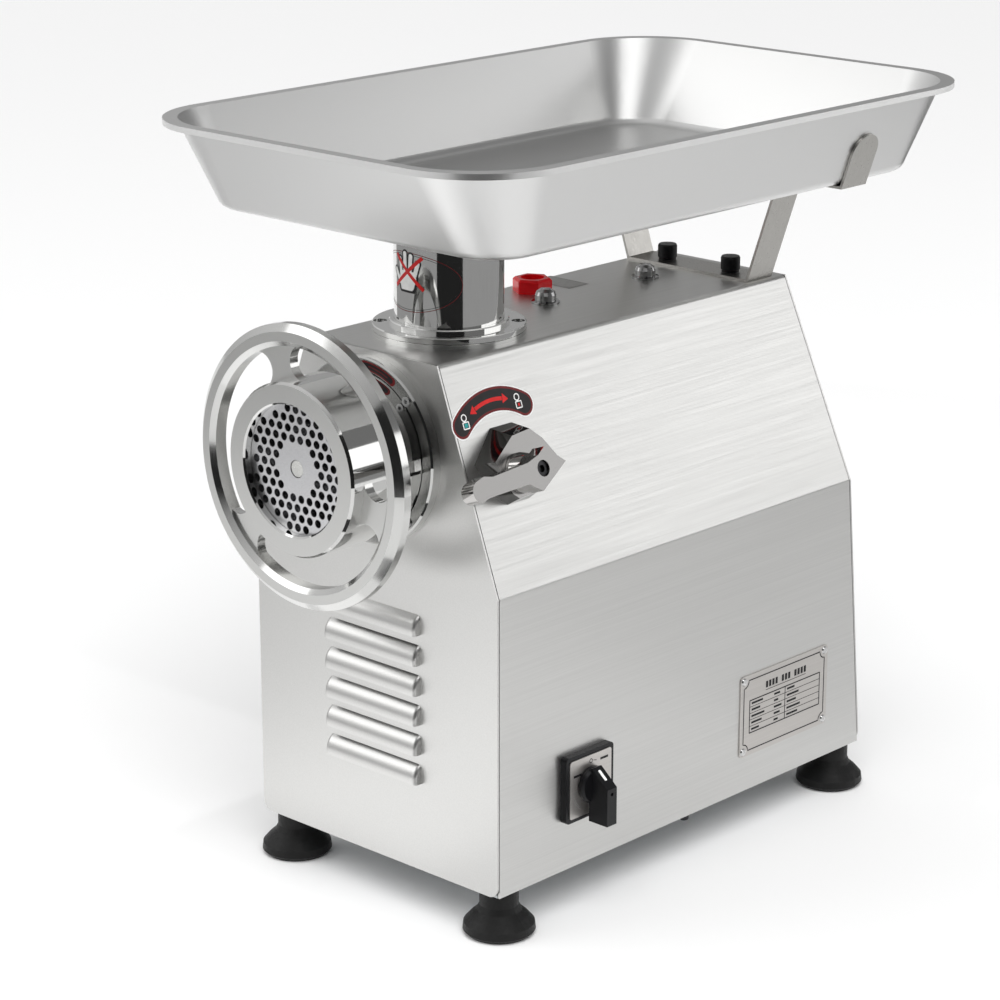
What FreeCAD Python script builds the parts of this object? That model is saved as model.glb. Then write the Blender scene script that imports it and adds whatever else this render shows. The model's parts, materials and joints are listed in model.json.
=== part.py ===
"""Electric meat grinder, size 32 class, as an assembly of separate named pieces.

Millimetres. +Z is up, the outlet faces -Y and the origin is on the floor under the middle
of the machine's outer box. Every piece is written to parts/LABEL.step.
"""
import FreeCAD, Part
import Sketcher
import math
import os

Vector = FreeCAD.Vector

# ---------------------------------------------------------------- driving dimensions

DIMENSIONS = [
    ("casing_width", 230), ("casing_top_width", 122), ("casing_bottom", 33),
    ("bend_height", 244), ("casing_top", 392), ("sheet", 1.5),
    ("front_reach", 192.5), ("rear_reach_top", 171), ("rear_reach_bottom", 207),
    ("panel_gap", 0.6), ("louvre_width", 88), ("louvre_pitch", 21.4), ("louvre_first", 103.5),
    ("foot_side", 100), ("foot_front", 175), ("foot_rear", 191), ("foot_radius", 25),
    ("foot_neck", 13.5),
    ("barrel_axis", 325), ("barrel_radius", 54.5), ("barrel_bore", 44), ("barrel_back", 138),
    ("slide_gap", 0.4), ("seat_radius", 60.2), ("flange_radius", 64.2), ("flange_depth", 8),
    ("ring_radius", 58.5), ("ring_opening", 44), ("ring_front", 74.5), ("ring_length", 40),
    ("ring_lip", 6), ("wheel_radius", 95.8), ("wheel_inner", 81), ("wheel_plane", 64),
    ("plate_radius", 49), ("plate_depth", 8), ("plate_hole", 2.8), ("plate_bore", 6.05),
    ("plate_pitch", 7.7), ("plate_holes_from", 16.5), ("plate_holes_to", 42),
    ("knife_depth", 10.5), ("auger_radius", 43.5), ("auger_shank", 20.35),
    ("neck_setback", 118), ("neck_radius", 37.2), ("neck_bore", 34.6), ("neck_top", 472.4),
    ("collar_radius", 52.4), ("collar_depth", 7),
    ("tray_floor", 473.4), ("tray_rim", 536), ("tray_sheet", 1.2), ("tray_centre", 4),
    ("floor_half_x", 137), ("floor_half_y", 221), ("floor_corner", 34), ("floor_bend", 9),
    ("mouth_half_x", 158.5), ("mouth_half_y", 255.5), ("mouth_corner", 61),
    ("rim_half_x", 166), ("rim_half_y", 263), ("rim_corner", 65),
    ("spout_radius", 34), ("spout_length", 39.4),
    ("strap_width", 28), ("strap_sheet", 2), ("strap_setback", 145),
    ("idler_axis", 255), ("motor_axis", 189), ("box_front", 46.5), ("box_back", 42),
    ("box_half", 62), ("box_wall", 8), ("cover_depth", 8), ("output_radius", 17),
    ("fast_module", 2), ("motor_teeth", 18), ("idler_teeth", 48), ("fast_face", 22),
    ("slow_module", 2.5), ("pinion_teeth", 16), ("output_teeth", 40), ("slow_face", 26),
    ("tooth_play", 0.12), ("fast_gear_back", 32), ("slow_gear_back", -2),
    ("coupling_radius", 23.5), ("idler_radius", 12), ("motor_shaft_radius", 10),
    ("bearing_play", 0.05), ("motor_radius", 72), ("stator_length", 80), ("rotor_radius", 38),
    ("switch_side", 48), ("switch_setback", 106.5), ("switch_height", 93),
    ("lock_setback", 160), ("lock_height", 316), ("lever_length", 66.4),
    ("rating_plate_width", 102), ("rating_plate_height", 62),
]

doc = FreeCAD.newDocument("MeatGrinder")
sheet = doc.addObject("Spreadsheet::Sheet", "Dimensions")
for row, (alias, number) in enumerate(DIMENSIONS, start=1):
    sheet.set(f"A{row}", alias)
    sheet.set(f"B{row}", str(number))
    sheet.setAlias(f"B{row}", alias)
doc.recompute()


class Size:
    """A length that carries its number and the spreadsheet formula behind it."""

    def __init__(self, number, formula=None):
        self.number = float(number)
        self.formula = formula or f"({self.number!r})"

    def __float__(self):
        return self.number

    def _join(self, other, sign, number):
        return Size(number, f"({self.formula} {sign} {as_size(other).formula})")

    def __add__(self, other):
        return self._join(other, "+", self.number + float(other))

    def __sub__(self, other):
        return self._join(other, "-", self.number - float(other))

    def __mul__(self, other):
        return self._join(other, "*", self.number * float(other))

    def __truediv__(self, other):
        return self._join(other, "/", self.number / float(other))

    def __radd__(self, other):
        return as_size(other) + self

    def __rsub__(self, other):
        return as_size(other) - self

    def __rmul__(self, other):
        return as_size(other) * self

    def __neg__(self):
        return as_size(0) - self

    def root(self):
        return Size(math.sqrt(self.number), f"sqrt({self.formula})")


def as_size(value):
    return value if isinstance(value, Size) else Size(value)


class Sheet:
    """Spreadsheet cells by alias, each as a Size."""

    def __getattr__(self, alias):
        return Size(sheet.get(alias), f"Dimensions.{alias}")


D = Sheet()

# ---------------------------------------------------------------- modelling helpers

UPRIGHT = FreeCAD.Rotation()
FORWARD = FreeCAD.Rotation(Vector(1, 0, 0), 90)          # own Z points at -Y, own Y up
SIDEWAYS = FreeCAD.Rotation(Vector(1, 1, 1), 120)        # own Z points at +X, own Y up
TOLERANCE = 1e-6
PIECES = []


def place(thing, at=(0, 0, 0), turn=UPRIGHT):
    """Placement whose position is bound to the sheet."""
    thing.Placement = FreeCAD.Placement(Vector(*[float(c) for c in at]), turn)
    for axis, value in zip("xyz", at):
        if isinstance(value, Size):
            thing.setExpression(f"Placement.Base.{axis}", value.formula)


def bind(feature, prop, value):
    setattr(feature, prop, float(value))
    if isinstance(value, Size):
        feature.setExpression(prop, value.formula)


def new_body(label, at=(0, 0, 0), turn=UPRIGHT):
    body = doc.addObject("PartDesign::Body", label)
    body.Label = label
    place(body, at, turn)
    PIECES.append(body)
    return body


def new_sketch(body, plane="XY", offset=0):
    """Empty sketch on one of the body's own origin planes."""
    sketch = body.newObject("Sketcher::SketchObject", f"{body.Name}_{plane}_sketch")
    wanted = f"{plane}_Plane"
    sketch.AttachmentSupport = [(f, "") for f in body.Origin.OriginFeatures if f.Role == wanted]
    sketch.MapMode = "FlatFace"
    sketch.AttachmentOffset = FreeCAD.Placement(Vector(0, 0, float(offset)), UPRIGHT)
    if isinstance(offset, Size):
        sketch.setExpression("AttachmentOffset.Base.z", offset.formula)
    return sketch


def constrain(sketch, kind, *args):
    """Dimension constraint; its last argument may be a Size bound to the sheet."""
    value = args[-1]
    index = sketch.addConstraint(Sketcher.Constraint(kind, *args[:-1], float(value)))
    if isinstance(value, Size):
        sketch.setExpression(f"Constraints[{index}]", value.formula)


def pin_point(sketch, geometry, point, x, y):
    constrain(sketch, "DistanceX", -1, 1, geometry, point, x)
    constrain(sketch, "DistanceY", -1, 1, geometry, point, y)


def add_polygon(sketch, corners):
    """Closed outline of straight edges through the corners."""
    first = sketch.GeometryCount
    count = len(corners)
    flat = [Vector(float(x), float(y), 0) for x, y in corners]
    for i in range(count):
        sketch.addGeometry(Part.LineSegment(flat[i], flat[(i + 1) % count]), False)
    for i in range(count):
        after = first + (i + 1) % count
        sketch.addConstraint(Sketcher.Constraint("Coincident", first + i, 2, after, 1))
    for i, (x, y) in enumerate(corners):
        pin_point(sketch, first + i, 1, x, y)


def add_outline(sketch, corners, arcs):
    """Closed outline through the corners; arcs gives a point on the edge after a corner."""
    first = sketch.GeometryCount
    count = len(corners)
    flat = [Vector(float(x), float(y), 0) for x, y in corners]
    for i in range(count):
        after = flat[(i + 1) % count]
        if i in arcs:
            middle = Vector(float(arcs[i][0]), float(arcs[i][1]), 0)
            sketch.addGeometry(Part.Arc(flat[i], middle, after), False)
        else:
            sketch.addGeometry(Part.LineSegment(flat[i], after), False)
    ends = []
    for i in range(count):
        same_way = sketch.getPoint(first + i, 1).distanceToPoint(flat[i]) < TOLERANCE
        ends.append((1, 2) if same_way else (2, 1))
    for i in range(count):
        j = (i + 1) % count
        sketch.addConstraint(
            Sketcher.Constraint("Coincident", first + i, ends[i][1], first + j, ends[j][0]))
    for i, (x, y) in enumerate(corners):
        pin_point(sketch, first + i, ends[i][0], x, y)
        if i in arcs:
            constrain(sketch, "Radius", first + i, sketch.Geometry[first + i].Radius)


def add_circle(sketch, radius, x=0, y=0):
    circle = Part.Circle(Vector(float(x), float(y), 0), Vector(0, 0, 1), float(radius))
    index = sketch.addGeometry(circle, False)
    pin_point(sketch, index, 3, x, y)
    constrain(sketch, "Radius", index, radius)


def add_rounded_box(sketch, half_x, half_y, radius, x=0, y=0):
    """Rectangle centred on (x, y) with equal rounded corners."""
    first = sketch.GeometryCount
    signs = [(1, -1), (1, 1), (-1, 1), (-1, -1)]
    centres = [(x + sx * (half_x - radius), y + sy * (half_y - radius)) for sx, sy in signs]
    for i, (cx, cy) in enumerate(centres):
        arc = Part.Circle(Vector(float(cx), float(cy), 0), Vector(0, 0, 1), float(radius))
        start = math.radians(-90 + 90 * i)
        sketch.addGeometry(Part.ArcOfCircle(arc, start, start + math.pi / 2), False)
    for i in range(4):
        begin = sketch.getPoint(first + i, 2)
        end = sketch.getPoint(first + (i + 1) % 4, 1)
        line = sketch.addGeometry(Part.LineSegment(begin, end), False)
        sketch.addConstraint(Sketcher.Constraint("Coincident", first + i, 2, line, 1))
        sketch.addConstraint(Sketcher.Constraint("Coincident", line, 2, first + (i + 1) % 4, 1))
    for i, (cx, cy) in enumerate(centres):
        pin_point(sketch, first + i, 3, cx, cy)
        constrain(sketch, "Radius", first + i, radius)
        kinds = ("Vertical", "Horizontal") if i % 2 == 0 else ("Horizontal", "Vertical")
        sketch.addConstraint(Sketcher.Constraint(kinds[0], first + i, 3, first + i, 1))
        sketch.addConstraint(Sketcher.Constraint(kinds[1], first + i, 3, first + i, 2))


def pad(body, sketch, length, back=False, both=False):
    feature = body.newObject("PartDesign::Pad", f"{body.Name}_pad")
    feature.Profile = sketch
    bind(feature, "Length", length)
    feature.Reversed = back
    feature.Midplane = both
    return feature


def pocket(body, sketch, length=None, back=False, both=False):
    """Cut along the sketch's normal reversed, or along the normal when back is set."""
    feature = body.newObject("PartDesign::Pocket", f"{body.Name}_pocket")
    feature.Profile = sketch
    if length is None:
        feature.Type = "ThroughAll"
    else:
        bind(feature, "Length", length)
    feature.Reversed = back
    feature.Midplane = both
    return feature


def revolve(body, sketch, kind="Revolution"):
    feature = body.newObject(f"PartDesign::{kind}", f"{body.Name}_{kind}")
    feature.Profile = sketch
    feature.ReferenceAxis = (sketch, ["V_Axis"])
    feature.Angle = 360
    return feature


def repeat_round(body, originals, count):
    """Polar pattern of features about the body's own Z axis."""
    feature = body.newObject("PartDesign::PolarPattern", f"{body.Name}_pattern")
    feature.Originals = originals
    feature.Axis = (next(f for f in body.Origin.OriginFeatures if f.Role == "Z_Axis"), [""])
    feature.Angle = 360
    feature.Occurrences = count
    body.Tip = feature


def round_edges(body, chosen, radius, kind="Fillet"):
    """Fillet or chamfer the edges of the body's tip that the test accepts."""
    doc.recompute()
    tip = body.Tip
    names = [f"Edge{i}" for i, edge in enumerate(tip.Shape.Edges, start=1) if chosen(edge)]
    feature = body.newObject(f"PartDesign::{kind}", f"{body.Name}_{kind}")
    feature.Base = (tip, names)
    bind(feature, "Radius" if kind == "Fillet" else "Size", radius)


def runs_along(edge, axis):
    """True for a straight edge parallel to the axis given as 0, 1 or 2."""
    if not isinstance(edge.Curve, Part.Line):
        return False
    direction = edge.Curve.Direction
    return abs(abs(direction[axis]) - 1) < TOLERANCE


def turned(label, outline, at=(0, 0, 0), turn=UPRIGHT):
    """Round piece: its outline of (radius, height) points turned about its own Z axis."""
    body = new_body(label, at, turn)
    sketch = new_sketch(body, "XZ")
    add_polygon(sketch, outline)
    revolve(body, sketch)
    return body


def bored_disc(label, outer, inner, low, high, at=(0, 0, 0), turn=UPRIGHT):
    return turned(label, [(inner, low), (outer, low), (outer, high), (inner, high)], at, turn)


def plate(label, half_x, half_y, depth, corner, at, turn):
    """Flat rounded rectangle lying on its own XY plane."""
    body = new_body(label, at, turn)
    sketch = new_sketch(body)
    add_rounded_box(sketch, half_x, half_y, corner)
    pad(body, sketch, depth)
    return body


def drill(body, radius, spots, plane="XY", offset=0, length=None, back=False, both=False):
    """Round holes at the (x, y) spots of a sketch plane."""
    sketch = new_sketch(body, plane, offset)
    for x, y in spots:
        add_circle(sketch, radius, x, y)
    return pocket(body, sketch, length, back, both)


def group(label, members):
    """Identical separate pieces kept together in one node."""
    compound = doc.addObject("Part::Compound", label)
    compound.Label = label
    compound.Links = members
    for member in members:
        PIECES.remove(member)
    PIECES.append(compound)


def polar(radius, degrees):
    angle = math.radians(degrees)
    return (radius * math.cos(angle), radius * math.sin(angle))


# ---------------------------------------------------------------- casing

def casing_half(inset):
    """Right half of the casing's front view, moved inwards by inset, from the bottom up."""
    run = (D.casing_width - D.casing_top_width) / 2
    rise = D.casing_top - D.bend_height
    slant = (run * run + rise * rise).root()
    at_bend = inset * (slant - rise) / run
    at_top = inset * (slant - run) / rise
    return [(D.casing_width / 2 - inset, D.casing_bottom),
            (D.casing_width / 2 - inset, D.bend_height - at_bend),
            (D.casing_top_width / 2 - at_top, D.casing_top - inset)]


def mirrored(half):
    return half + [(-x, y) for x, y in reversed(half)]


LEAN = (D.rear_reach_bottom - D.rear_reach_top) / (D.casing_top - D.casing_bottom)
LEAN_LENGTH = (1 + LEAN * LEAN).root()
NECK_Y = -D.neck_setback
BEND_RADIUS = 3.5
OIL_PLUG = (-38.5, 6.5)
STUDS = [(-7, -14), (-7, 93)]
STRAP_BOLTS = [(-30, D.strap_setback), (30, D.strap_setback)]
RIVETS = [(sx * 47, sy * 27) for sx in (-1, 1) for sy in (-1, 1)]
NECK_SCREWS = [polar(46.6, 43), polar(46.6, 223)]
FEET = [(sx * D.foot_side, y) for sx in (-1, 1) for y in (-D.foot_front, D.foot_rear)]
ABOVE = 20
NECK_SCREW = 2.5
STUD_HOLE = 4.2
OIL_HOLE = 10.4
BOLT_HOLE = 4.2
RIVET_HOLE = 1.7
PLATE_Y = 112.5
PLATE_Z = 91.0


def slanted_turn():
    """Own Z square to the right-hand slanted side, own X towards the rear."""
    run = float(D.casing_width - D.casing_top_width) / 2
    rise = float(D.casing_top - D.bend_height)
    slant = math.hypot(run, rise)
    outward = Vector(rise / slant, 0, run / slant)
    return FreeCAD.Rotation(Vector(0, 1, 0), Vector(-run / slant, 0, rise / slant), outward, "ZXY")


SLANTED = slanted_turn()
LOCK_X = (D.casing_width / 2 - (D.lock_height - D.bend_height)
          * (D.casing_width - D.casing_top_width) / 2 / (D.casing_top - D.bend_height))
LOCK_AT = (LOCK_X, -D.lock_setback, D.lock_height)
SWITCH_AT = (D.casing_width / 2, -D.switch_setback, D.switch_height)
LINE = (0, -D.front_reach, D.barrel_axis)
LOCK_CLEAR = 5


def make_casing_cover():
    body = new_body("casing_cover")
    front = D.front_reach - D.sheet - D.panel_gap
    profile = new_sketch(body, "XZ", front)
    outer = mirrored(casing_half(as_size(0)))
    inner = mirrored(casing_half(D.sheet))
    add_polygon(profile, outer + inner[::-1])
    pad(body, profile, front + D.rear_reach_bottom, back=True)

    def outer_fold(edge):
        point = edge.Vertexes[0].Point
        at_bend = abs(point.z - float(D.bend_height)) < 0.5
        at_top = abs(point.z - float(D.casing_top)) < 0.1
        return runs_along(edge, 1) and (at_bend or at_top)

    def inner_fold(edge):
        point = edge.Vertexes[0].Point
        return runs_along(edge, 1) and abs(point.z - float(D.casing_top - D.sheet)) < 0.1

    round_edges(body, lambda e: outer_fold(e) and not inner_fold(e), BEND_RADIUS)
    back_cut = new_sketch(body, "YZ")
    shift = D.sheet + D.panel_gap
    add_polygon(back_cut, [
        (D.rear_reach_top - shift - LEAN * 10, D.casing_top + 10),
        (D.rear_reach_bottom - shift + LEAN * 10, D.casing_bottom - 10),
        (D.rear_reach_bottom + 60, D.casing_bottom - 10),
        (D.rear_reach_bottom + 60, D.casing_top + 10)])
    pocket(body, back_cut, both=True)
    top = D.casing_top + 1
    drill(body, D.neck_radius + 0.8, [(0, NECK_Y)], offset=top, length=ABOVE)
    drill(body, OIL_HOLE + 0.3, [OIL_PLUG], offset=top, length=ABOVE)
    drill(body, STUD_HOLE + 0.3, STUDS, offset=top, length=ABOVE)
    drill(body, BOLT_HOLE + 0.1, STRAP_BOLTS, offset=top, length=ABOVE)
    drill(body, NECK_SCREW + 0.1, [(x, NECK_Y + y) for x, y in NECK_SCREWS], offset=top, length=ABOVE)
    side = new_sketch(body, "YZ", D.casing_width / 2 + 1)
    half = D.switch_side / 2 - 3
    add_rounded_box(side, half, half, as_size(2), -D.switch_setback, D.switch_height)
    for y, z in RIVETS:
        add_circle(side, RIVET_HOLE, PLATE_Y + y, PLATE_Z + z)
    pocket(body, side, ABOVE)
    return body


def cut_for_lock(body, radius, depth):
    """The piece less a round hole along the lock's axis, from just outside to depth."""
    label = body.Label
    body.Label = f"{label}_blank"
    PIECES.remove(body)
    cutter = doc.addObject("Part::Cylinder", f"{label}_lock_hole")
    bind(cutter, "Radius", radius)
    bind(cutter, "Height", depth + LOCK_CLEAR)
    axis = SLANTED.multVec(Vector(0, 0, 1))
    place(cutter, (LOCK_X - axis.x * depth, -D.lock_setback, D.lock_height - axis.z * depth),
          SLANTED)
    cut = doc.addObject("Part::Cut", label)
    cut.Label = label
    cut.Base = body
    cut.Tool = cutter
    PIECES.append(cut)


LOUVRE_RISE = 7.0
LOUVRE_DEPTH = 6.0
LOUVRE_SHEET = 1.2


def add_louvres(body, heights):
    """Pressed hoods open at the bottom, on a panel whose outer face is its own z = 0."""
    skin = new_sketch(body, "YZ")
    hollow = new_sketch(body, "YZ")
    for z in heights:
        low = z - LOUVRE_RISE
        high = z + LOUVRE_RISE
        add_outline(skin, [(low, 0), (high, 0), (low, LOUVRE_DEPTH)],
                    {1: (z + 2.6, LOUVRE_DEPTH - 1.6)})
        add_outline(hollow, [(low - 0.8, -D.sheet - 1), (high - 1.6, -D.sheet - 1), (high - 1.6, 0),
                             (low, LOUVRE_DEPTH - LOUVRE_SHEET),
                             (low - 0.8, LOUVRE_DEPTH - LOUVRE_SHEET)],
                    {2: (z + 1.4, LOUVRE_DEPTH - 2.9)})
    pad(body, skin, D.louvre_width, both=True)

    def hood_end(edge):
        box = edge.BoundBox
        at_end = abs(abs(box.XMin) - float(D.louvre_width / 2)) < 0.01 and box.XLength < 0.01
        return at_end and box.ZMin > -0.01 and box.ZLength > 3 and box.YLength > 8
    round_edges(body, hood_end, 3)
    pocket(body, hollow, D.louvre_width - 2 * LOUVRE_SHEET, both=True)


LOUVRE_HEIGHTS = [D.louvre_first + i * D.louvre_pitch for i in range(6)]
CORNER_RADIUS = 8


def round_bottom_corners(body, width, low):
    def corner(edge):
        point = edge.Vertexes[0].Point
        near = abs(abs(point.x) - float(width)) < 0.1 and abs(point.y - float(low)) < 0.1
        return runs_along(edge, 2) and near
    round_edges(body, corner, CORNER_RADIUS)


def make_front_panel():
    body = new_body("front_panel", (0, -D.front_reach, 0), FORWARD)
    outline = new_sketch(body)
    add_polygon(outline, mirrored(casing_half(as_size(0))))
    pad(body, outline, D.sheet, back=True)
    round_bottom_corners(body, D.casing_width / 2, D.casing_bottom)
    drill(body, D.seat_radius + 0.3, [(0, D.barrel_axis)], length=D.sheet)
    add_louvres(body, LOUVRE_HEIGHTS)


GLAND_THREAD = 8.0
GLAND_X = -70
GLAND_UP = 38
REAR_LOUVRE_LIFT = 40
CABLE_BORE = 4.5


def make_cable_gland(turn):
    """Hollow gland: lock nut inside the panel, thread through it, flange and dome nut outside."""
    shift = turn.multVec(Vector(-GLAND_X, GLAND_UP, 0))
    at = (shift.x, D.rear_reach_bottom + shift.y, D.casing_bottom + shift.z)
    inside = -D.sheet
    turned("cable_gland", [
        (CABLE_BORE, inside - 9), (GLAND_THREAD, inside - 9), (GLAND_THREAD, inside - 7),
        (12, inside - 7), (12, inside), (GLAND_THREAD, inside), (GLAND_THREAD, 0),
        (12, 0), (12, 6), (10, 8), (10, 17), (7.5, 21), (CABLE_BORE, 21)], at, turn)


def make_rear_panel():
    lean = math.atan(float(LEAN))
    turn = FreeCAD.Rotation(Vector(-1, 0, 0), Vector(0, -math.sin(lean), math.cos(lean)),
                            Vector(0, math.cos(lean), math.sin(lean)), "ZXY")
    body = new_body("rear_panel", (0, D.rear_reach_bottom, D.casing_bottom), turn)
    outline = new_sketch(body)
    half = [(x, (z - D.casing_bottom) * LEAN_LENGTH) for x, z in casing_half(as_size(0))]
    add_polygon(outline, mirrored(half))
    pad(body, outline, D.sheet, back=True)
    round_bottom_corners(body, D.casing_width / 2, as_size(0))
    drill(body, GLAND_THREAD + 0.1, [(-GLAND_X, GLAND_UP)], length=D.sheet)
    add_louvres(body, [z - D.casing_bottom + REAR_LOUVRE_LIFT for z in LOUVRE_HEIGHTS])
    make_cable_gland(turn)


BASE_SHEET = 2.0
FOOT_SCREW = 3.0


def make_base_plate():
    body = new_body("base_plate", (0, 0, D.casing_bottom))
    outline = new_sketch(body)
    side = D.casing_width / 2 - D.sheet - 0.3
    front = -(D.front_reach - D.sheet - 0.3)
    rear = D.rear_reach_bottom - D.sheet - 1
    add_polygon(outline, [(-side, front), (side, front), (side, rear), (-side, rear)])
    pad(body, outline, BASE_SHEET)
    drill(body, FOOT_SCREW + 0.2, FEET, offset=10)


def make_feet():
    feet = []
    screws = []
    for index, (x, y) in enumerate(FEET, start=1):
        top = D.casing_bottom
        foot = turned(f"foot_{index}", [
            (4, 8), (10, 8), (10, 0), (22, 0), (D.foot_radius, 3), (D.foot_radius - 0.6, 8),
            (20, 13), (15.5, 17), (D.foot_neck, 21), (D.foot_neck, top), (4, top)], (x, y, 0))
        feet.append(foot)
        screws.append(turned(f"foot_screw_{index}", [
            (0, 4), (7, 4), (7, 8), (FOOT_SCREW, 8), (FOOT_SCREW, top + BASE_SHEET),
            (5.2, top + BASE_SHEET), (5.2, top + BASE_SHEET + 5), (0, top + BASE_SHEET + 5)],
            (x, y, 0)))
    group("rubber_feet", feet)
    group("foot_screws", screws)


# ---------------------------------------------------------------- top of the casing

def make_top_fittings():
    nuts = []
    studs = []
    for index, (x, y) in enumerate(STUDS, start=1):
        nuts.append(turned(f"dome_nut_{index}", [
            (STUD_HOLE, 0), (10, 0), (10, 1.6), (7.5, 1.8), (7.5, 6), (6.6, 8.4), (4, 10.2),
            (0, 10.8), (0, 7), (STUD_HOLE, 7)], (x, y, D.casing_top)))
        studs.append(turned(f"stud_{index}", [
            (0, -14), (STUD_HOLE - 0.1, -14), (STUD_HOLE - 0.1, 6.8), (0, 6.8)],
            (x, y, D.casing_top)))
    group("dome_nuts", nuts + studs)
    make_oil_plug()


def make_oil_plug():
    body = new_body("oil_plug", (*OIL_PLUG, D.casing_top))
    head = new_sketch(body)
    add_polygon(head, [polar(14.4, 30 + 60 * i) for i in range(6)])
    pad(body, head, 10)
    stem = new_sketch(body)
    add_circle(stem, OIL_HOLE - 0.1)
    pad(body, stem, 9.4, back=True)
    drill(body, 8.5, [(0, 0)], offset=11, length=6)
    round_edges(body, lambda e: e.BoundBox.ZMin > 9.9 and isinstance(e.Curve, Part.Line), 1.6,
                "Chamfer")


def band(points, thickness):
    """Outline of a bent strip of even thickness to the left of a run of points."""
    flat = [Vector(float(x), float(y), 0) for x, y in points]
    side = []
    for i, point in enumerate(flat):
        before = (point - flat[i - 1]).normalize() if i else None
        after = (flat[i + 1] - point).normalize() if i < len(flat) - 1 else None
        before = before or after
        after = after or before
        left = Vector(-before.y - after.y, before.x + after.x, 0)
        scale = 2 * thickness / left.dot(left)
        side.append(point + left * scale)
    return [(p.x, p.y) for p in flat + side[::-1]]


def make_tray_bracket():
    """One bent strap: base, two leaning legs, arms under the tray and clips up its sides."""
    body = new_body("tray_bracket", (0, D.strap_setback, 0))
    profile = new_sketch(body, "XZ")
    base = float(D.casing_top)
    under = float(D.tray_floor) - 0.2
    wall = float(D.mouth_half_x - D.floor_half_x) / float(D.tray_rim - D.tray_floor)
    tab = 36.0
    leg_foot = 57
    leg_top = 84
    outer_foot = float(D.floor_half_x) + 1.6
    half = [(leg_foot, base), (leg_top, under - 2), (outer_foot, under - 2),
            (outer_foot + wall * (tab + 2), under + tab)]
    run = [(-x, z) for x, z in reversed(half)] + half
    add_polygon(profile, band(run, float(D.strap_sheet)))
    pad(body, profile, D.strap_width, both=True)

    def tab_corner(edge):
        box = edge.BoundBox
        return box.ZMin > under + tab - 3 and box.YLength < 0.01 and edge.Length < 3
    round_edges(body, tab_corner, D.strap_width / 2 - 0.5)
    bolt_spots = [(x, 0) for x, _ in STRAP_BOLTS]
    drill(body, BOLT_HOLE + 0.1, bolt_spots, offset=D.casing_top + 10, length=20)


def make_bracket_bolts():
    bolts = []
    for index, (x, y) in enumerate(STRAP_BOLTS, start=1):
        top = D.strap_sheet
        bolts.append(turned(f"bracket_bolt_{index}", [
            (0, -16), (BOLT_HOLE, -16), (BOLT_HOLE, top), (6.4, top), (6.4, top + 1.2),
            (7.1, top + 2), (7.1, top + 10.4), (6.4, top + 11.6), (0, top + 12)],
            (x, y, D.casing_top)))
    group("bracket_bolts", bolts)


SEAM = 2.8


def make_neck():
    collar = turned("neck_collar", [
        (D.neck_radius + 0.1, 0), (D.collar_radius, 0), (D.collar_radius, SEAM - 0.3),
        (D.collar_radius - 0.8, SEAM), (D.collar_radius, SEAM + 0.3),
        (D.collar_radius, D.collar_depth - 0.6),
        (D.collar_radius - 0.6, D.collar_depth), (40.6, D.collar_depth), (40.6, 9),
        (40, 9.8), (D.neck_radius + 0.1, 9.8)], (0, NECK_Y, D.casing_top))
    drill(collar, NECK_SCREW + 0.1, NECK_SCREWS, offset=ABOVE)
    drill(collar, 4.6, NECK_SCREWS, offset=ABOVE, length=ABOVE - 2.6)
    screws = []
    for index, (x, y) in enumerate(NECK_SCREWS, start=1):
        screws.append(turned(f"neck_screw_{index}", [
            (0, -1.4), (NECK_SCREW, -1.4), (NECK_SCREW, 2.6), (4.4, 2.6), (4.4, 5.4), (2, 5.4),
            (2, 4), (0, 4)], (x, NECK_Y + y, D.casing_top)))
    group("neck_screws", screws)
    bottom = D.barrel_axis + 30
    neck = turned("feed_neck", [
        (D.neck_bore, bottom), (D.neck_radius, bottom), (D.neck_radius, D.neck_top),
        (D.neck_bore, D.neck_top)], (0, NECK_Y, 0))
    saddle = new_sketch(neck, "XZ")
    add_circle(saddle, D.barrel_radius + 2 * D.slide_gap, 0, D.barrel_axis)
    pocket(neck, saddle, both=True)


# ---------------------------------------------------------------- feed tray

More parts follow.
